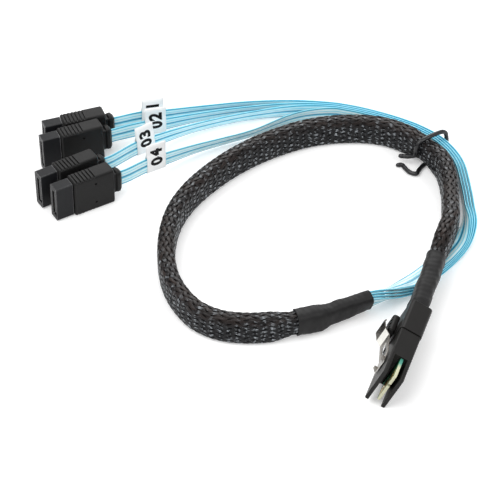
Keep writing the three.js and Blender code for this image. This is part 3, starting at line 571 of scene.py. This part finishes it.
def ribbon_jacket():
    """Clear blue jacket: silvery where the wire pairs lie, and deep blue in the grooves and at the edges,
    partly the jacket's own colour and partly painted shade.
    """
    material, tree, shader = node_material("ribbon_jacket")
    across = attribute(tree, "across")
    along = attribute(tree, "along")
    away = calc(tree, "ABSOLUTE", across)
    # Painted shade: the grooves and rims are painted deep blue, partly the thicker clear plastic and
    # partly the shade at the lobes' edges.
    groove = remap(tree, away, 0.14, 0.04)
    rim = remap(tree, apart(tree, away, RIM_AT), 0.07, 0.02)
    line = calc(tree, "MAXIMUM", groove, rim)
    from_wire = apart(tree, apart(tree, away, LOBE_MIDDLE), WIRE_FROM_MIDDLE)
    wire = remap(tree, from_wire, 0.15, 0.05)
    wander = tree.nodes.new("ShaderNodeTexNoise")
    wander.noise_dimensions = "1D"
    wander.inputs["Scale"].default_value = 0.09
    wander.inputs["Detail"].default_value = 2.0
    tree.links.new(along, wander.inputs["W"])
    deep = mixed(tree, wander.outputs["Fac"], (0.004, 0.15, 0.34), (0.015, 0.31, 0.53))
    clear = mixed(tree, wander.outputs["Fac"], (0.17, 0.72, 0.93), (0.38, 0.88, 1.0))
    silver = mixed(tree, wander.outputs["Fac"], (0.62, 0.95, 1.0), (0.92, 0.99, 1.0))
    painted(tree, shader, line, mixed(tree, wire, clear, silver), deep)
    shader.inputs["Roughness"].default_value = 0.18
    shader.inputs["Transmission Weight"].default_value = 0.07
    shader.inputs["IOR"].default_value = 1.45
    shader.inputs["Coat Weight"].default_value = 0.3
    shader.inputs["Coat Roughness"].default_value = 0.1
    twist = calc(tree, "SINE", calc(tree, "MULTIPLY", along, 1.6))
    bumped(tree, shader, calc(tree, "MULTIPLY", twist, wire), 0.25, 0.00008)
    return material


def flag_paper():
    material, tree, shader = node_material("label_paper")
    fibre = noise(tree, 2600.0, 4.0, roughness=0.7)
    painted(tree, shader, fibre, (0.92, 0.925, 0.93), (0.97, 0.97, 0.97))
    shader.inputs["Roughness"].default_value = 0.6
    bumped(tree, shader, fibre, 0.25, 0.00003)
    return material


def flag_ink():
    material, tree, shader = node_material("label_ink")
    worn = noise(tree, 1800.0, 3.0)
    painted(tree, shader, worn, (0.004, 0.004, 0.0045), (0.012, 0.012, 0.013))
    shader.inputs["Roughness"].default_value = 0.6
    shader.inputs["Specular IOR Level"].default_value = 0.1
    return material


def brushed_steel(plug_axes):
    """Rolled sheet, metallic, with painted reflections: the ramp that faces the plug's nose is painted
    pale, and the other faces are painted dark.
    """
    material, tree, shader = node_material("brushed_steel")
    lines = noise(tree, 900.0, 3.0, stretch=(1, 1, 14))
    # Painted reflections: facets are coloured by which way they face, pale on the ramp and dark elsewhere.
    painted_reflection_share = remap(tree, facing(tree, plug_axes[0]), 0.45, 0.65)
    painted_dark_reflection = mixed(tree, lines, (0.10, 0.085, 0.075), (0.30, 0.28, 0.25))
    painted_bright_reflection = mixed(tree, lines, (0.72, 0.70, 0.65), (0.88, 0.87, 0.83))
    painted(tree, shader, painted_reflection_share, painted_dark_reflection, painted_bright_reflection)
    shader.inputs["Metallic"].default_value = 1.0
    roughened(tree, shader, lines, 0.2, 0.36)
    bumped(tree, shader, lines, 0.2, 0.00002)
    return material


def gold():
    material, tree, shader = node_material("gold_contacts")
    wear = noise(tree, 1500.0, 3.0)
    painted(tree, shader, wear, (0.72, 0.50, 0.18), (0.92, 0.72, 0.34))
    shader.inputs["Metallic"].default_value = 1.0
    roughened(tree, shader, wear, 0.2, 0.35)
    return material


def card_board(plug_axes):
    """Green board, whose cut edge is painted blue-green at the back as painted shade, and shows its pale
    glass core in front.
    """
    material, tree, shader = node_material("paddle_card")
    face = remap(tree, calc(tree, "ABSOLUTE", facing(tree, plug_axes[1])), 0.4, 0.6)
    weave = noise(tree, 2400.0, 3.0)
    green = mixed(tree, weave, (0.03, 0.16, 0.07), (0.06, 0.26, 0.12))
    core = mixed(tree, weave, (0.50, 0.50, 0.33), (0.66, 0.65, 0.47))
    # Painted shade: the cut edge's rear is painted blue-green where it lies in shade, fading to the pale
    # core forward.
    shaded_teal = mixed(tree, weave, (0.06, 0.26, 0.20), (0.10, 0.36, 0.28))
    position = dot_product(tree, place_in_object(tree), plug_axes[0])
    starts, ends = (place(on(wide_plug, (u, 0, 0))) @ plug_axes[0] for u in (CARD_SHADE_TO, CARD_UNSHADED_FROM))
    unshaded_share = remap(tree, position, starts, ends)
    painted(tree, shader, face, mixed(tree, unshaded_share, shaded_teal, core), green)
    shader.inputs["Roughness"].default_value = 0.35
    bumped(tree, shader, weave, 0.2, 0.00002)
    return material


def tie_coating():
    material, tree, shader = node_material("tie_coating")
    patches = noise(tree, 900.0, 3.0)
    painted(tree, shader, patches, (0.005, 0.005, 0.006), (0.012, 0.012, 0.014))
    shader.inputs["Specular IOR Level"].default_value = 0.4
    roughened(tree, shader, patches, 0.18, 0.28)
    bumped(tree, shader, patches, 0.3, 0.00004)
    return material


# Each moulding's second colour is painted on its edges: partly wear, partly a painted highlight.
MATERIALS = {
    "shell": moulded_plastic("plug_moulding", (0.009, 0.0085, 0.008), (0.035, 0.034, 0.033), 4200.0),
    "grip": moulded_plastic("drive_plug_moulding", (0.0085, 0.0083, 0.0083), (0.05, 0.05, 0.051), 3600.0),
    "mouth": moulded_plastic(
        "drive_plug_mouth_moulding", (0.009, 0.0095, 0.011), (0.3, 0.3, 0.305), 3600.0, 0.0005),
    "shrink": shrink_rubber(),
    "braid": braid_filament(),
    "jacket": ribbon_jacket(),
    "paper": flag_paper(),
    "ink": flag_ink(),
    "steel": brushed_steel(wide_plug[0]),
    "gold": gold(),
    "card": card_board(wide_plug[0]),
    "tie": tie_coating(),
}

# Ribbons: each with two lobes, joined by a thin web

LOBE = [
    (3.0, 0.09), (2.88, 0.16), (2.62, 0.2), (2.3, 0.3), (1.85, 0.345), (1.4, 0.35), (0.95, 0.33),
    (0.5, 0.24), (0.25, 0.16), (0.0, 0.15),
]
RIBBON_STEP = 1.6


def ribbon_section():
    """A ribbon's section, once round: places across its thickness and across its width."""
    far = [(t, v) for v, t in LOBE]
    half = far[::-1]
    right = [(t, -v) for t, v in far[:-1]] + half
    left = [(-t, v) for t, v in right[::-1]]
    return np.array(right + left)


section = ribbon_section()
station_before = last_solid_station(trunk)
ribbon_runs = []
for index in range(RIBBONS):
    sideways = (index - (RIBBONS - 1) / 2) * RIBBON_PITCH
    shared = trunk["at"] + trunk["side"] * sideways
    end_plug = drive_plug(*DRIVE_PLUGS[index])
    tilt = DRIVE_PLUGS[index][3]
    seats = (COLLAR_END + RIBBON_LEAD, COLLAR_END, COLLAR_END - RIBBON_SEAT / 2, COLLAR_END - RIBBON_SEAT)
    own_at, own_ahead, own_roll = smooth_line([
        (*shared[station_before], 0),
        (*shared[-1], 0),
        *[(x, y, lift + RIBBON_WIDTH / 2, roll) for x, y, lift, roll in BRANCH_ROUTES[index]],
        *[(*on(end_plug, (x, 0, 0)), -tilt) for x in seats],
    ], 1)
    whole = run_along(
        np.vstack([shared, own_at[1:]]),
        np.vstack([trunk["ahead"], own_ahead[1:]]),
        np.concatenate([trunk["roll"], own_roll[1:]]),
    )
    length = whole["along"][-1]
    stations = sampled(whole, np.linspace(0, length, int(length / RIBBON_STEP)))
    points, faces = tube(ring_points(stations, section[None, :, 0], section[None, :, 1]))
    ribbon = make(
        f"ribbon_jacket_{index + 1}", points, faces, MATERIALS["jacket"],
        values={
            "across": np.tile(section[:, 1] / (RIBBON_WIDTH / 2), len(stations["along"])),
            "along": np.repeat(stations["along"], len(section)),
        },
    )
    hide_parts(f"ribbon_{index + 1}")
    whole["piece"] = ribbon
    ribbon_runs.append(whole)

# Braided sleeve: two families of flat strands that wind opposite ways and pass over and under each other

CARRIERS = 16
TURN_LENGTH = 84.0
STRAND = [
    (-0.62, -0.04), (-0.42, 0.11), (-0.22, 0.03), (0.0, 0.13), (0.22, 0.03), (0.42, 0.11),
    (0.62, -0.04), (0.3, -0.12), (-0.3, -0.12),
]
STRAND_CREST = 0.1
STRAND_SETBACK = 0.2
WARM_FROM = 2.0
WARM_OVER = 2.4
WEAVE_DEPTH = 0.15
STEPS_PER_CROSSING = 4
SQUARENESS = 4.0
BRAID_INSET = 0.3
GIRTH_SAMPLES = 720


def ease(value, a, b):
    """0 to 1 as a value goes from a to b, with soft ends."""
    x = np.clip((value - a) / (b - a), 0, 1)
    return x * x * (3 - 2 * x)


def squarer(wave, squareness):
    """A cosine or sine that runs round a squarer oval."""
    return np.sign(wave) * np.abs(wave) ** (2 / squareness)


def oval_table():
    """The sleeve's oval by share of its girth: x, y, outward direction and the girth."""
    angle = np.linspace(0, 2 * math.pi, GIRTH_SAMPLES * 4 + 1)
    x = squarer(np.cos(angle), SQUARENESS) * (SLEEVE_WIDTH / 2 - BRAID_INSET)
    y = squarer(np.sin(angle), SQUARENESS) * (SLEEVE_HEIGHT / 2 - BRAID_INSET)
    steps = np.hypot(np.diff(x), np.diff(y))
    girth = np.concatenate([[0], np.cumsum(steps)])
    share = np.linspace(0, 1, GIRTH_SAMPLES + 1)
    x, y = np.interp(share * girth[-1], girth, x), np.interp(share * girth[-1], girth, y)
    dx, dy = np.gradient(x), np.gradient(y)
    size = np.hypot(dx, dy)
    return share, x, y, dy / size, -dx / size, girth[-1]


share_table, oval_x, oval_y, oval_nx, oval_ny, GIRTH = oval_table()


def sleeve_share(along):
    """The sleeve's width and height at a place, as shares of their full sizes."""
    from_end = np.minimum(along - sleeve_start, sleeve_end - along)
    opened = ease(from_end, SHRINK_OVER_SLEEVE + FIT, SHRINK_OVER_SLEEVE + FIT + SLEEVE_TAPER)
    squeeze = 1 - ease(np.abs(along - tie_along), 0, SLEEVE_WAIST_REACH)
    width = SLEEVE_END[0] + (SLEEVE_WIDTH - SLEEVE_END[0]) * opened
    height = SLEEVE_END[1] + (SLEEVE_HEIGHT - SLEEVE_END[1]) * opened
    height = height + (SLEEVE_WAIST - height) * squeeze
    return width / SLEEVE_WIDTH, height / SLEEVE_HEIGHT


def on_sleeve(along, around, proud):
    """Points on the sleeve's oval, by distance along, share of the girth and height over its middle."""
    around = np.mod(around, 1)
    stations = sampled(trunk, along.ravel())
    at, side, up = (stations[key].reshape(along.shape + (3,)) for key in ("at", "side", "up"))
    wide, tall = sleeve_share(along)
    x = np.interp(around, share_table, oval_x) * wide + np.interp(around, share_table, oval_nx) * proud
    y = np.interp(around, share_table, oval_y) * tall + np.interp(around, share_table, oval_ny) * proud
    return at + side * x[..., None] + up * y[..., None]


pitch_angle = math.atan2(GIRTH, TURN_LENGTH)
strand_profile = np.array(STRAND)
crossings = 2 * CARRIERS * SLEEVE_LENGTH / TURN_LENGTH
strand_steps = int(crossings * STEPS_PER_CROSSING)
random = np.random.default_rng(7)
for name, way in (("braid_strands_left", 1), ("braid_strands_right", -1)):
    parts, tones, warms, painted_glints = [], [], [], []
    for carrier in range(CARRIERS):
        s = np.linspace(sleeve_start + STRAND_SETBACK, sleeve_end - STRAND_SETBACK, strand_steps)
        phase = 2 * CARRIERS * (s - sleeve_start) / TURN_LENGTH
        over = way * np.cos(math.pi * phase) * WEAVE_DEPTH
        slack = 0.02 * np.sin(s * 0.31 + carrier * 1.7) / CARRIERS
        around = carrier / CARRIERS + way * (s - sleeve_start) / TURN_LENGTH + slack
        across = strand_profile[None, :, 0] * (1 + 0.08 * np.sin(s * 0.21 + carrier))[:, None]
        along_points = np.clip(
            s[:, None] - way * across * math.sin(pitch_angle), sleeve_start, sleeve_end)
        around_points = around[:, None] + across * math.cos(pitch_angle) / GIRTH
        rings = on_sleeve(along_points, around_points, over[:, None] + strand_profile[None, :, 1])
        points, faces = tube(rings)
        parts.append((points, faces))
        shade = 0.5 + 0.3 * np.sin(s * 0.13 + carrier * 2.1) + random.uniform(-0.25, 0.25)
        tones.append(np.repeat(np.clip(shade, 0, 1), len(STRAND)))
        height = points[:, 2] - np.repeat(sampled(trunk, s)["at"][:, 2], len(STRAND))
        patchy = 0.5 + 0.5 * np.sin(points[:, 0] * 0.11 + points[:, 1] * 0.07 + carrier)
        warm = np.clip((height - WARM_FROM) / WARM_OVER, 0, 1) * (0.3 + 0.7 * patchy)
        warms.append(warm)
        # Where the painted highlights go: the raised tops of strands where they cross over, fewer on the
        # brown top.
        crest = np.clip(way * np.cos(math.pi * phase), 0, 1) ** 3
        raised = np.tile(strand_profile[:, 1] > STRAND_CREST, len(s))
        painted_glints.append(np.repeat(crest, len(STRAND)) * raised * (1 - warm))
    points, faces = merged(parts)
    strands = make(
        name, points, faces, MATERIALS["braid"],
        values={
            "tone": np.concatenate(tones),
            "warm": np.concatenate(warms),
            "painted_glint": np.concatenate(painted_glints),
        },
    )
    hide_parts("braided_sleeve")

# A dark layer under the strands, which the real sleeve does not have: it stands for the shade between
# them, so that no light comes through between them.

BACKING_COLUMNS = 40
BACKING_STATIONS = 240
BACKING_SETBACK = 0.4
BACKING_LEVELS = (-0.32, -0.46)
backing_along = np.linspace(sleeve_start + BACKING_SETBACK, sleeve_end - BACKING_SETBACK, BACKING_STATIONS)
backing_along = np.repeat(backing_along[:, None], BACKING_COLUMNS, 1)
backing_around = np.broadcast_to(np.arange(BACKING_COLUMNS) / BACKING_COLUMNS, backing_along.shape)
walls = [on_sleeve(backing_along, backing_around, level) for level in BACKING_LEVELS]
points, faces = tube(np.vstack([walls[0], walls[1][::-1]]), loop=True)
make("braid_shade_backing", points, faces, MATERIALS["shrink"])

# Heat-shrink tubes: shrunk onto what is inside them, with lumps and soft folds

SHRINK_COLUMNS = 56
SHRINK_SQUARENESS = 3.2
SHRINK_STATIONS = 110
SHRINK_INSET = 0.1
LUMP_SPREAD = 0.9
RIPPLE_FADE = 1.2
LIP_RISE = 0.12
LIP_REACH = 0.5


def lump(along, angle, where, reach, turn, size):
    """A soft lump at a place along and around a tube."""
    around = np.mod(angle - turn + math.pi, 2 * math.pi) - math.pi
    return size * np.exp(-((along - where) / reach) ** 2 - (around / LUMP_SPREAD) ** 2)


def shrink_tube(name, start, end, on_sleeve_from, on_sleeve_to, lumps, seed, replaced):
    """A tube that goes from the narrow size to the wide one between two places."""
    along = np.linspace(start, end, SHRINK_STATIONS)
    stations = sampled(trunk, along)
    grown = ease(along, on_sleeve_from, on_sleeve_to)
    width, height = (
        (narrow + (wide - narrow) * grown)[:, None] for narrow, wide in zip(SHRINK_NARROW, SHRINK_WIDE))
    angle = np.linspace(0, 2 * math.pi, SHRINK_COLUMNS, endpoint=False)
    s, a = along[:, None], angle[None, :]
    ripple = (
        0.09 * np.sin(s * 0.55 + 3.0 * np.sin(a + seed))
        + 0.05 * np.sin(s * 1.3 + a * 3 + seed * 3)
        + 0.025 * np.sin(s * 3.1 - a * 4 + seed)
    )
    bulge = sum(lump(s - start, a, *place_and_size) for place_and_size in lumps)
    from_end = np.minimum(s - start, end - s)
    fade = np.clip(from_end / RIPPLE_FADE, 0, 1)
    lip = LIP_RISE * np.exp(-from_end / LIP_REACH)
    rings = []
    for inward in (0.0, SHRINK_WALL):
        outward = (ripple * fade + bulge + lip) - inward
        x = (width / 2 - SHRINK_INSET) * squarer(np.cos(a), SHRINK_SQUARENESS) + outward * np.cos(a)
        y = (height / 2 - SHRINK_INSET) * squarer(np.sin(a), SHRINK_SQUARENESS) + outward * np.sin(a)
        rings.append(ring_points(stations, x, y))
    points, faces = tube(np.vstack([rings[0], rings[1][::-1]]), loop=True)
    piece = make(name, points, faces, MATERIALS["shrink"])
    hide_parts(replaced)


shrink_tube(
    "heat_shrink_at_plug", shrink_start, shrink_end, shrink_start + 0.5, shrink_start + 6.5,
    [(5, 2.0, 1.2, 0.25), (14, 3.5, 0.4, 0.15), (24, 3.0, 3.4, 0.15)], 0.6, "heat_shrink_plug_end")
shrink_tube(
    "heat_shrink_at_breakout", breakout_start, breakout_end,
    sleeve_end + FIT + SHRINK_STEP, sleeve_end + FIT,
    [(9, 2.6, -2.0, 0.3), (15, 2.2, 1.2, 0.2)], 2.1, "heat_shrink_breakout_end")

# Rigid pieces: the solids with their edges broken

WELD = 2e-6
FLAT_WITHIN = 1.5
BEVEL_OVER = 35
SHARP_SHEET = 10
SHARP_MOULDING = 38
GROOVES_FROM = 13.5
GROOVES_TO = 21.3
GROOVE_FLOOR = 6.6
GROOVE_SHIFT = 6.0


def grooves_forward(number):
    """A change of shape that slides a grip's grooves along it, towards the mouth."""
    axes, position = drive_plug(*DRIVE_PLUGS[number - 1])

    def slide(shape):
        for vertex in shape.verts:
            x, _, z = (np.array(vertex.co) / MM + MIDDLE - position) @ axes.T
            if GROOVES_FROM < x < GROOVES_TO and abs(z) > GROOVE_FLOOR:
                vertex.co -= Vector(axes[0] * GROOVE_SHIFT * MM)

    return slide


def dressed(node, name, material, slot, edge, body, reshape):
    """A copy of a solid with flat faces joined up and its edges rounded."""
    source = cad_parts[node]
    shape = bmesh.new()
    shape.from_mesh(source.data)
    bmesh.ops.remove_doubles(shape, verts=shape.verts, dist=WELD)
    bmesh.ops.dissolve_limit(
        shape, angle_limit=math.radians(FLAT_WITHIN), verts=shape.verts, edges=shape.edges)
    if reshape:
        reshape(shape)
    mesh = bpy.data.meshes.new(name)
    shape.to_mesh(mesh)
    shape.free()
    mesh.polygons.foreach_set("use_smooth", [True] * len(mesh.polygons))
    mesh.set_sharp_from_angle(angle=math.radians(SHARP_SHEET if body == LATCH else SHARP_MOULDING))
    piece = added(name, mesh)
    piece.data.materials.append(MATERIALS[material])
    bevel = piece.modifiers.new("edges", "BEVEL")
    bevel.width = edge * MM
    bevel.segments = 2
    bevel.limit_method = "ANGLE"
    bevel.angle_limit = math.radians(BEVEL_OVER)
    bevel.use_clamp_overlap = True
    normals = piece.modifiers.new("shading", "WEIGHTED_NORMAL")
    normals.keep_sharp = True
    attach(piece, body)
    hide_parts(node)
    return piece


RIGID = [
    ("mini_sas_backshell", "plug_backshell", "shell", "black_moulding", 0.16, CABLE, None),
    ("mini_sas_nose", "plug_nose", "shell", "black_moulding", 0.12, CABLE, None),
    ("paddle_card", "plug_card", "card", "board", 0.04, CABLE, None),
    ("latch_spring", "plug_latch", "steel", "spring_steel", 0.06, LATCH, None),
    ("latch_block", "plug_latch_block", "shell", "black_moulding", 0.12, CABLE, None),
]
DRIVE_PLUG_PARTS = [
    ("mouth", "mouth", "black_moulding", 0.12),
    ("contacts", "gold", "gold_contacts", 0.03),
    ("grip", "grip", "black_moulding", 0.14),
]
for number in range(1, RIBBONS + 1):
    for part, look, slot, edge in DRIVE_PLUG_PARTS:
        reshape = grooves_forward(number) if part == "grip" else None
        names = (f"sata_{number}_{part}", f"drive_plug_{number}_{part}")
        RIGID.append((*names, look, slot, edge, CABLE, reshape))
rigid = {}
for node, *rest in RIGID:
    rigid[node] = dressed(node, *rest)

# Card pads: a row of gold fingers on both faces of the card

PADS = 18
PAD_PITCH = 0.6
PAD_WIDTH = 0.34
PAD_LENGTH = 3.6
PAD_THICKNESS = 0.05
PAD_SETBACK = 0.5
KEY_FROM, KEY_TO = 1.0, 2.2
card_front = BACKSHELL_LENGTH + FIT + NOSE_LENGTH - CARD_SETBACK
pads = []
for face in (-1, 1):
    level = CARD_OFFSET + face * (CARD_THICKNESS / 2 + PAD_THICKNESS / 2)
    for pad in range(PADS):
        z = (pad - (PADS - 1) / 2) * PAD_PITCH
        if KEY_FROM < z < KEY_TO:
            continue
        ends = (card_front - PAD_SETBACK - PAD_LENGTH, card_front - PAD_SETBACK)
        y0, y1 = level - PAD_THICKNESS / 2, level + PAD_THICKNESS / 2
        z0, z1 = z - PAD_WIDTH / 2, z + PAD_WIDTH / 2
        ring = ((y0, z0), (y1, z0), (y1, z1), (y0, z1))
        pads.append(tube(on(wide_plug, [[(x, *corner) for corner in ring] for x in ends])))
points, faces = merged(pads)
make("plug_card_pads", points, faces, MATERIALS["gold"], smooth=False)

# Paper flags: one strip that runs down a side, under the ribbon and up the other side

PAPER = 0.13
FLAG_PATH = [
    (0.08, 8.78), (0.08, 7.2), (0.08, 5.6), (0.1, 4.7), (0.3, 3.9), (0.52, 3.2), (0.56, 2.4), (0.56, 0.0),
    (0.56, -2.4), (0.5, -3.0), (0.26, -3.36), (0.0, -3.44),
]
FLAG_FOLD = [(0.34, -3.48), (0.0, -3.57)]
FLAG_FOOT = 3.5
FLAG_HEIGHT = 12.3
FLAG_STEPS = 14
CAP_HEIGHT = 5.3
GLYPH_MIDDLE = 2.9
GLYPH_WEIGHT = 0.046
GLYPH_SPACING = 1.12
GLYPH_DEPTH = 0.01
GLYPH_WELD = 1e-4
LONG_EDGE = 0.15
PRINT_PROUD = 0.03
PRINT_SUNK = 0.02


def flag_bend(upward, along, curl):
    """How far the paper leans sideways at a height and a distance along the ribbon."""
    share = np.clip((upward + FLAG_FOOT) / FLAG_HEIGHT, 0, 1)
    return curl[0] * share ** 2 + curl[1] * share * (along / LABEL_LENGTH)


def flag_outer(upward):
    """Distance of the paper's outer face from the ribbon's middle at a height."""
    halves, heights = np.array(FLAG_PATH[::-1]).T
    return np.interp(upward, heights, halves + PAPER)


def glyph_mesh(words):
    """Flat bold numerals, one unit tall and centred, as a mesh."""
    curve = bpy.data.curves.new("numerals", "FONT")
    curve.body = words
    curve.align_x = "CENTER"
    curve.align_y = "CENTER"
    curve.offset = GLYPH_WEIGHT
    curve.space_character = GLYPH_SPACING
    curve.extrude = GLYPH_DEPTH
    curve.resolution_u = 6
    holder = bpy.data.objects.new("numerals", curve)
    mesh = bpy.data.meshes.new_from_object(holder)
    bpy.data.objects.remove(holder)
    shape = bmesh.new()
    shape.from_mesh(mesh)
    bmesh.ops.remove_doubles(shape, verts=shape.verts, dist=GLYPH_WELD)
    long_edges = [e for e in shape.edges if e.calc_length() > LONG_EDGE]
    bmesh.ops.subdivide_edges(shape, edges=long_edges, cuts=2)
    bmesh.ops.triangulate(shape, faces=shape.faces)
    points = np.array([v.co[:] for v in shape.verts])
    faces = [tuple(v.index for v in f.verts) for f in shape.faces]
    shape.free()
    low, high = points.min(axis=0), points.max(axis=0)
    points[:, :2] -= (low[:2] + high[:2]) / 2
    points[:, :2] /= high[1] - low[1]
    return points, faces


FLAG_CURLS = [(0.5, 0.3), (0.4, -0.4), (-0.3, 0.5), (0.3, -0.3)]
flags = []
for index in range(RIBBONS):
    run = ribbon_runs[index]
    along = run["along"][-1] - RIBBON_SEAT - LABEL_FROM_PLUG[index]
    middle = station(run, along)
    curl = FLAG_CURLS[index]
    slope = math.tan(math.radians(LABEL_TILT[index]))

    def on_flag(sideways, upward, lengthways):
        """Points on the flag by their distances from the ribbon's middle."""
        sideways = sideways + flag_bend(upward, lengthways, curl)
        return (
            middle["at"]
            + middle["side"] * sideways[..., None]
            + middle["up"] * upward[..., None]
            + middle["ahead"] * (lengthways + upward * slope)[..., None]
        )

    outer = [(x + PAPER, z) for x, z in FLAG_PATH[:-2]] + FLAG_FOLD
    inner = FLAG_PATH
    loop = outer + [(-x, z) for x, z in outer[-2::-1]] + [(-x, z) for x, z in inner] + inner[-2::-1]
    loop = np.array(loop)
    steps = np.linspace(-LABEL_LENGTH / 2, LABEL_LENGTH / 2, FLAG_STEPS)
    rings = np.array([on_flag(loop[:, 0], loop[:, 1], np.full(len(loop), step)) for step in steps])
    points, faces = tube(rings)
    flag = make(f"flag_{index + 1}", points, faces, MATERIALS["paper"])
    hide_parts(f"label_{index + 1}")
    glyphs, faces = glyph_mesh(f"{index + 1:02d}")
    toward_camera = -1 if middle["side"] @ np.array([0, -1, 0]) < 0 else 1
    upward = glyphs[:, 0] * CAP_HEIGHT + GLYPH_MIDDLE
    leftward = glyphs[:, 1] * CAP_HEIGHT
    left = -1 if middle["ahead"] @ np.array([-1, 0, 0]) < 0 else 1
    proud = np.where(glyphs[:, 2] > 0, PRINT_PROUD, -PRINT_SUNK)
    sideways = toward_camera * (flag_outer(upward) + proud)
    points = on_flag(sideways, upward, left * leftward)
    numerals = make(
        f"flag_{index + 1}_number", points, faces, MATERIALS["ink"], smooth=False)
    flags.append([flag, numerals])

# Coated tie

TIE_STEPS = 150
TIE_COLUMNS = 12
TIE_COAT = 1.1
TIE_TIP = (0.55, 0.85, 0.97)


def abreast(here, after):
    """Where the trunk comes back past an earlier cross-section, closest to it."""
    ahead = (trunk["at"] - here["at"]) @ here["ahead"]
    later = trunk["along"] > after
    best, nearest = None, math.inf
    for k in range(len(ahead) - 1):
        if later[k] and ahead[k] * ahead[k + 1] <= 0:
            share = ahead[k] / (ahead[k] - ahead[k + 1])
            point = trunk["at"][k] * (1 - share) + trunk["at"][k + 1] * share
            if np.linalg.norm(point - here["at"]) < nearest:
                best, nearest = point, np.linalg.norm(point - here["at"])
    return best


here = station(trunk, tie_along)
inward = here["side"]
tie_wide, tie_tall = sleeve_share(np.array(tie_along))
outer_reach = (here["at"] - abreast(here, sleeve_end)) @ inward + STACK / 2 + FIT + TIE_RADIUS
inner_reach = SLEEVE_WIDTH * tie_wide / 2 + FIT + TIE_RADIUS
top = here["at"][2] + SLEEVE_HEIGHT * tie_tall / 2 + FIT + TIE_RADIUS
bottom = TIE_RADIUS + TIE_LIFT
over = bottom + 3 * TIE_RADIUS
r = TIE_ROUNDING

# The tie's line, from one tail round the sleeve to the other: inward, height and along the cable

TIE_POINTS = [
    (inner_reach + 3.4, over, 6.2),
    (inner_reach + 1.8, over, 4.4),
    (inner_reach + 0.7, over + 0.6, 2.6),
    (inner_reach + 0.1, over + 1.6, 1.2),
    (inner_reach, top - r, 0.6),
    (inner_reach - r * 0.35, top - r * 0.35, 0.4),
    (inner_reach - r, top, 0.2),
    (-outer_reach + r, top, -0.2),
    (-outer_reach + r * 0.35, top - r * 0.35, -0.3),
    (-outer_reach, top - r, -0.4),
    (-outer_reach, bottom + r, -0.8),
    (-outer_reach + r * 0.35, bottom + r * 0.35, -0.9),
    (-outer_reach + r, bottom, -1.0),
    ((inner_reach - outer_reach) / 2, bottom, -1.2),
    (inner_reach - r, bottom, -1.4),
    (inner_reach + 1.2, bottom, -2.6),
    (inner_reach + 3.4, bottom, -3.6),
    (inner_reach + 4.6, bottom, -1.6),
    (inner_reach + 4.4, bottom, 1.2),
    (inner_reach + 4.0, bottom, 3.4),
    (inner_reach + 5.8, bottom, 4.6),
]
foot = np.array([here["at"][0], here["at"][1], 0])
tie_line = [(*(foot + inward * i + here["ahead"] * a + UP * z), 0) for i, z, a in TIE_POINTS]
tie_at, tie_ahead, _ = smooth_line(tie_line)
steps = np.concatenate([[0], np.cumsum(np.linalg.norm(np.diff(tie_at, axis=0), axis=1))])
even = np.linspace(0, steps[-1], TIE_STEPS)
tie_at = columns_at(even, steps, tie_at)
tie_ahead = unit(np.gradient(tie_at, axis=0))
across = unit(np.cross(tie_ahead[0], UP))
acrosses = []
for direction in tie_ahead:
    across = unit(across - direction * (across @ direction))
    acrosses.append(across)
acrosses = np.array(acrosses)
uprights = np.cross(tie_ahead, acrosses)
angle = np.linspace(0, 2 * math.pi, TIE_COLUMNS, endpoint=False)
thick = TIE_RADIUS * (TIE_COAT + 0.04 * np.sin(even * 2.3))
thick[:3] *= TIE_TIP
thick[-3:] *= TIE_TIP[::-1]
rings = tie_at[:, None] + thick[:, None, None] * (
    acrosses[:, None] * np.cos(angle)[None, :, None] + uprights[:, None] * np.sin(angle)[None, :, None])
points, faces = tube(rings)
tie = make("coated_tie", points, faces, MATERIALS["tie"])
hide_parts("twist_tie")

# The pieces at each ribbon's far end, its drive plug's three parts and its flag, gathered ribbon by
# ribbon; the list is not used further.

for index, run in enumerate(ribbon_runs):
    number = index + 1
    parts = [rigid[f"sata_{number}_{part}"] for part in ("mouth", "contacts", "grip")] + flags[index]

# Table, light and background

FLOOR = 3.0
FLOOR_LIFT = 0.28
AMBIENT = 0.62
WHITE = (1, 1, 1, 1)


def seen_directly(tree):
    """1 for rays from the camera, a mirroring face or a clear piece, and 0 for scattered light."""
    path = tree.nodes.new("ShaderNodeLightPath")
    beyond = calc(tree, "MAXIMUM", path.outputs["Is Glossy Ray"], path.outputs["Is Transmission Ray"])
    return calc(tree, "MAXIMUM", path.outputs["Is Camera Ray"], beyond)


floor_mesh = bpy.data.meshes.new("floor")
floor_mesh.from_pydata(
    [(-FLOOR, -FLOOR, 0), (FLOOR, -FLOOR, 0), (FLOOR, FLOOR, 0), (-FLOOR, FLOOR, 0)], [], [(0, 1, 2, 3)])
floor = added("floor", floor_mesh)
floor_look, tree, shader = node_material("floor_paper")
shader.inputs["Base Color"].default_value = (0.86, 0.86, 0.86, 1)
shader.inputs["Roughness"].default_value = 0.9
shader.inputs["Specular IOR Level"].default_value = 0.1
shader.inputs["Emission Color"].default_value = WHITE
tree.links.new(calc(tree, "MULTIPLY", seen_directly(tree), FLOOR_LIFT), shader.inputs["Emission Strength"])
floor_mesh.materials.append(floor_look)

world = bpy.data.worlds.new("studio")
bpy.context.scene.world = world
world.use_nodes = True
tree = world.node_tree
background = next(n for n in tree.nodes if n.type == "BACKGROUND")
background.inputs["Color"].default_value = WHITE
brighter = calc(tree, "MULTIPLY", seen_directly(tree), 1 - AMBIENT)
tree.links.new(calc(tree, "ADD", brighter, AMBIENT), background.inputs["Strength"])

LAMPS = [
    ("key", (-0.35, -0.25, 0.75), 0.7, 4.4),
    ("fill", (0.55, -0.45, 0.5), 0.5, 2.2),
    ("rim", (0.1, 0.7, 0.55), 0.5, 2.6),
]
for name, position, size, power in LAMPS:
    lamp = bpy.data.lights.new(name, "AREA")
    lamp.shape = "SQUARE"
    lamp.size = size
    lamp.energy = power
    holder = added(name, lamp)
    holder.location = position
    holder.rotation_euler = (-Vector(position)).to_track_quat("-Z", "Y").to_euler()

bpy.context.scene.view_settings.view_transform = "Standard"
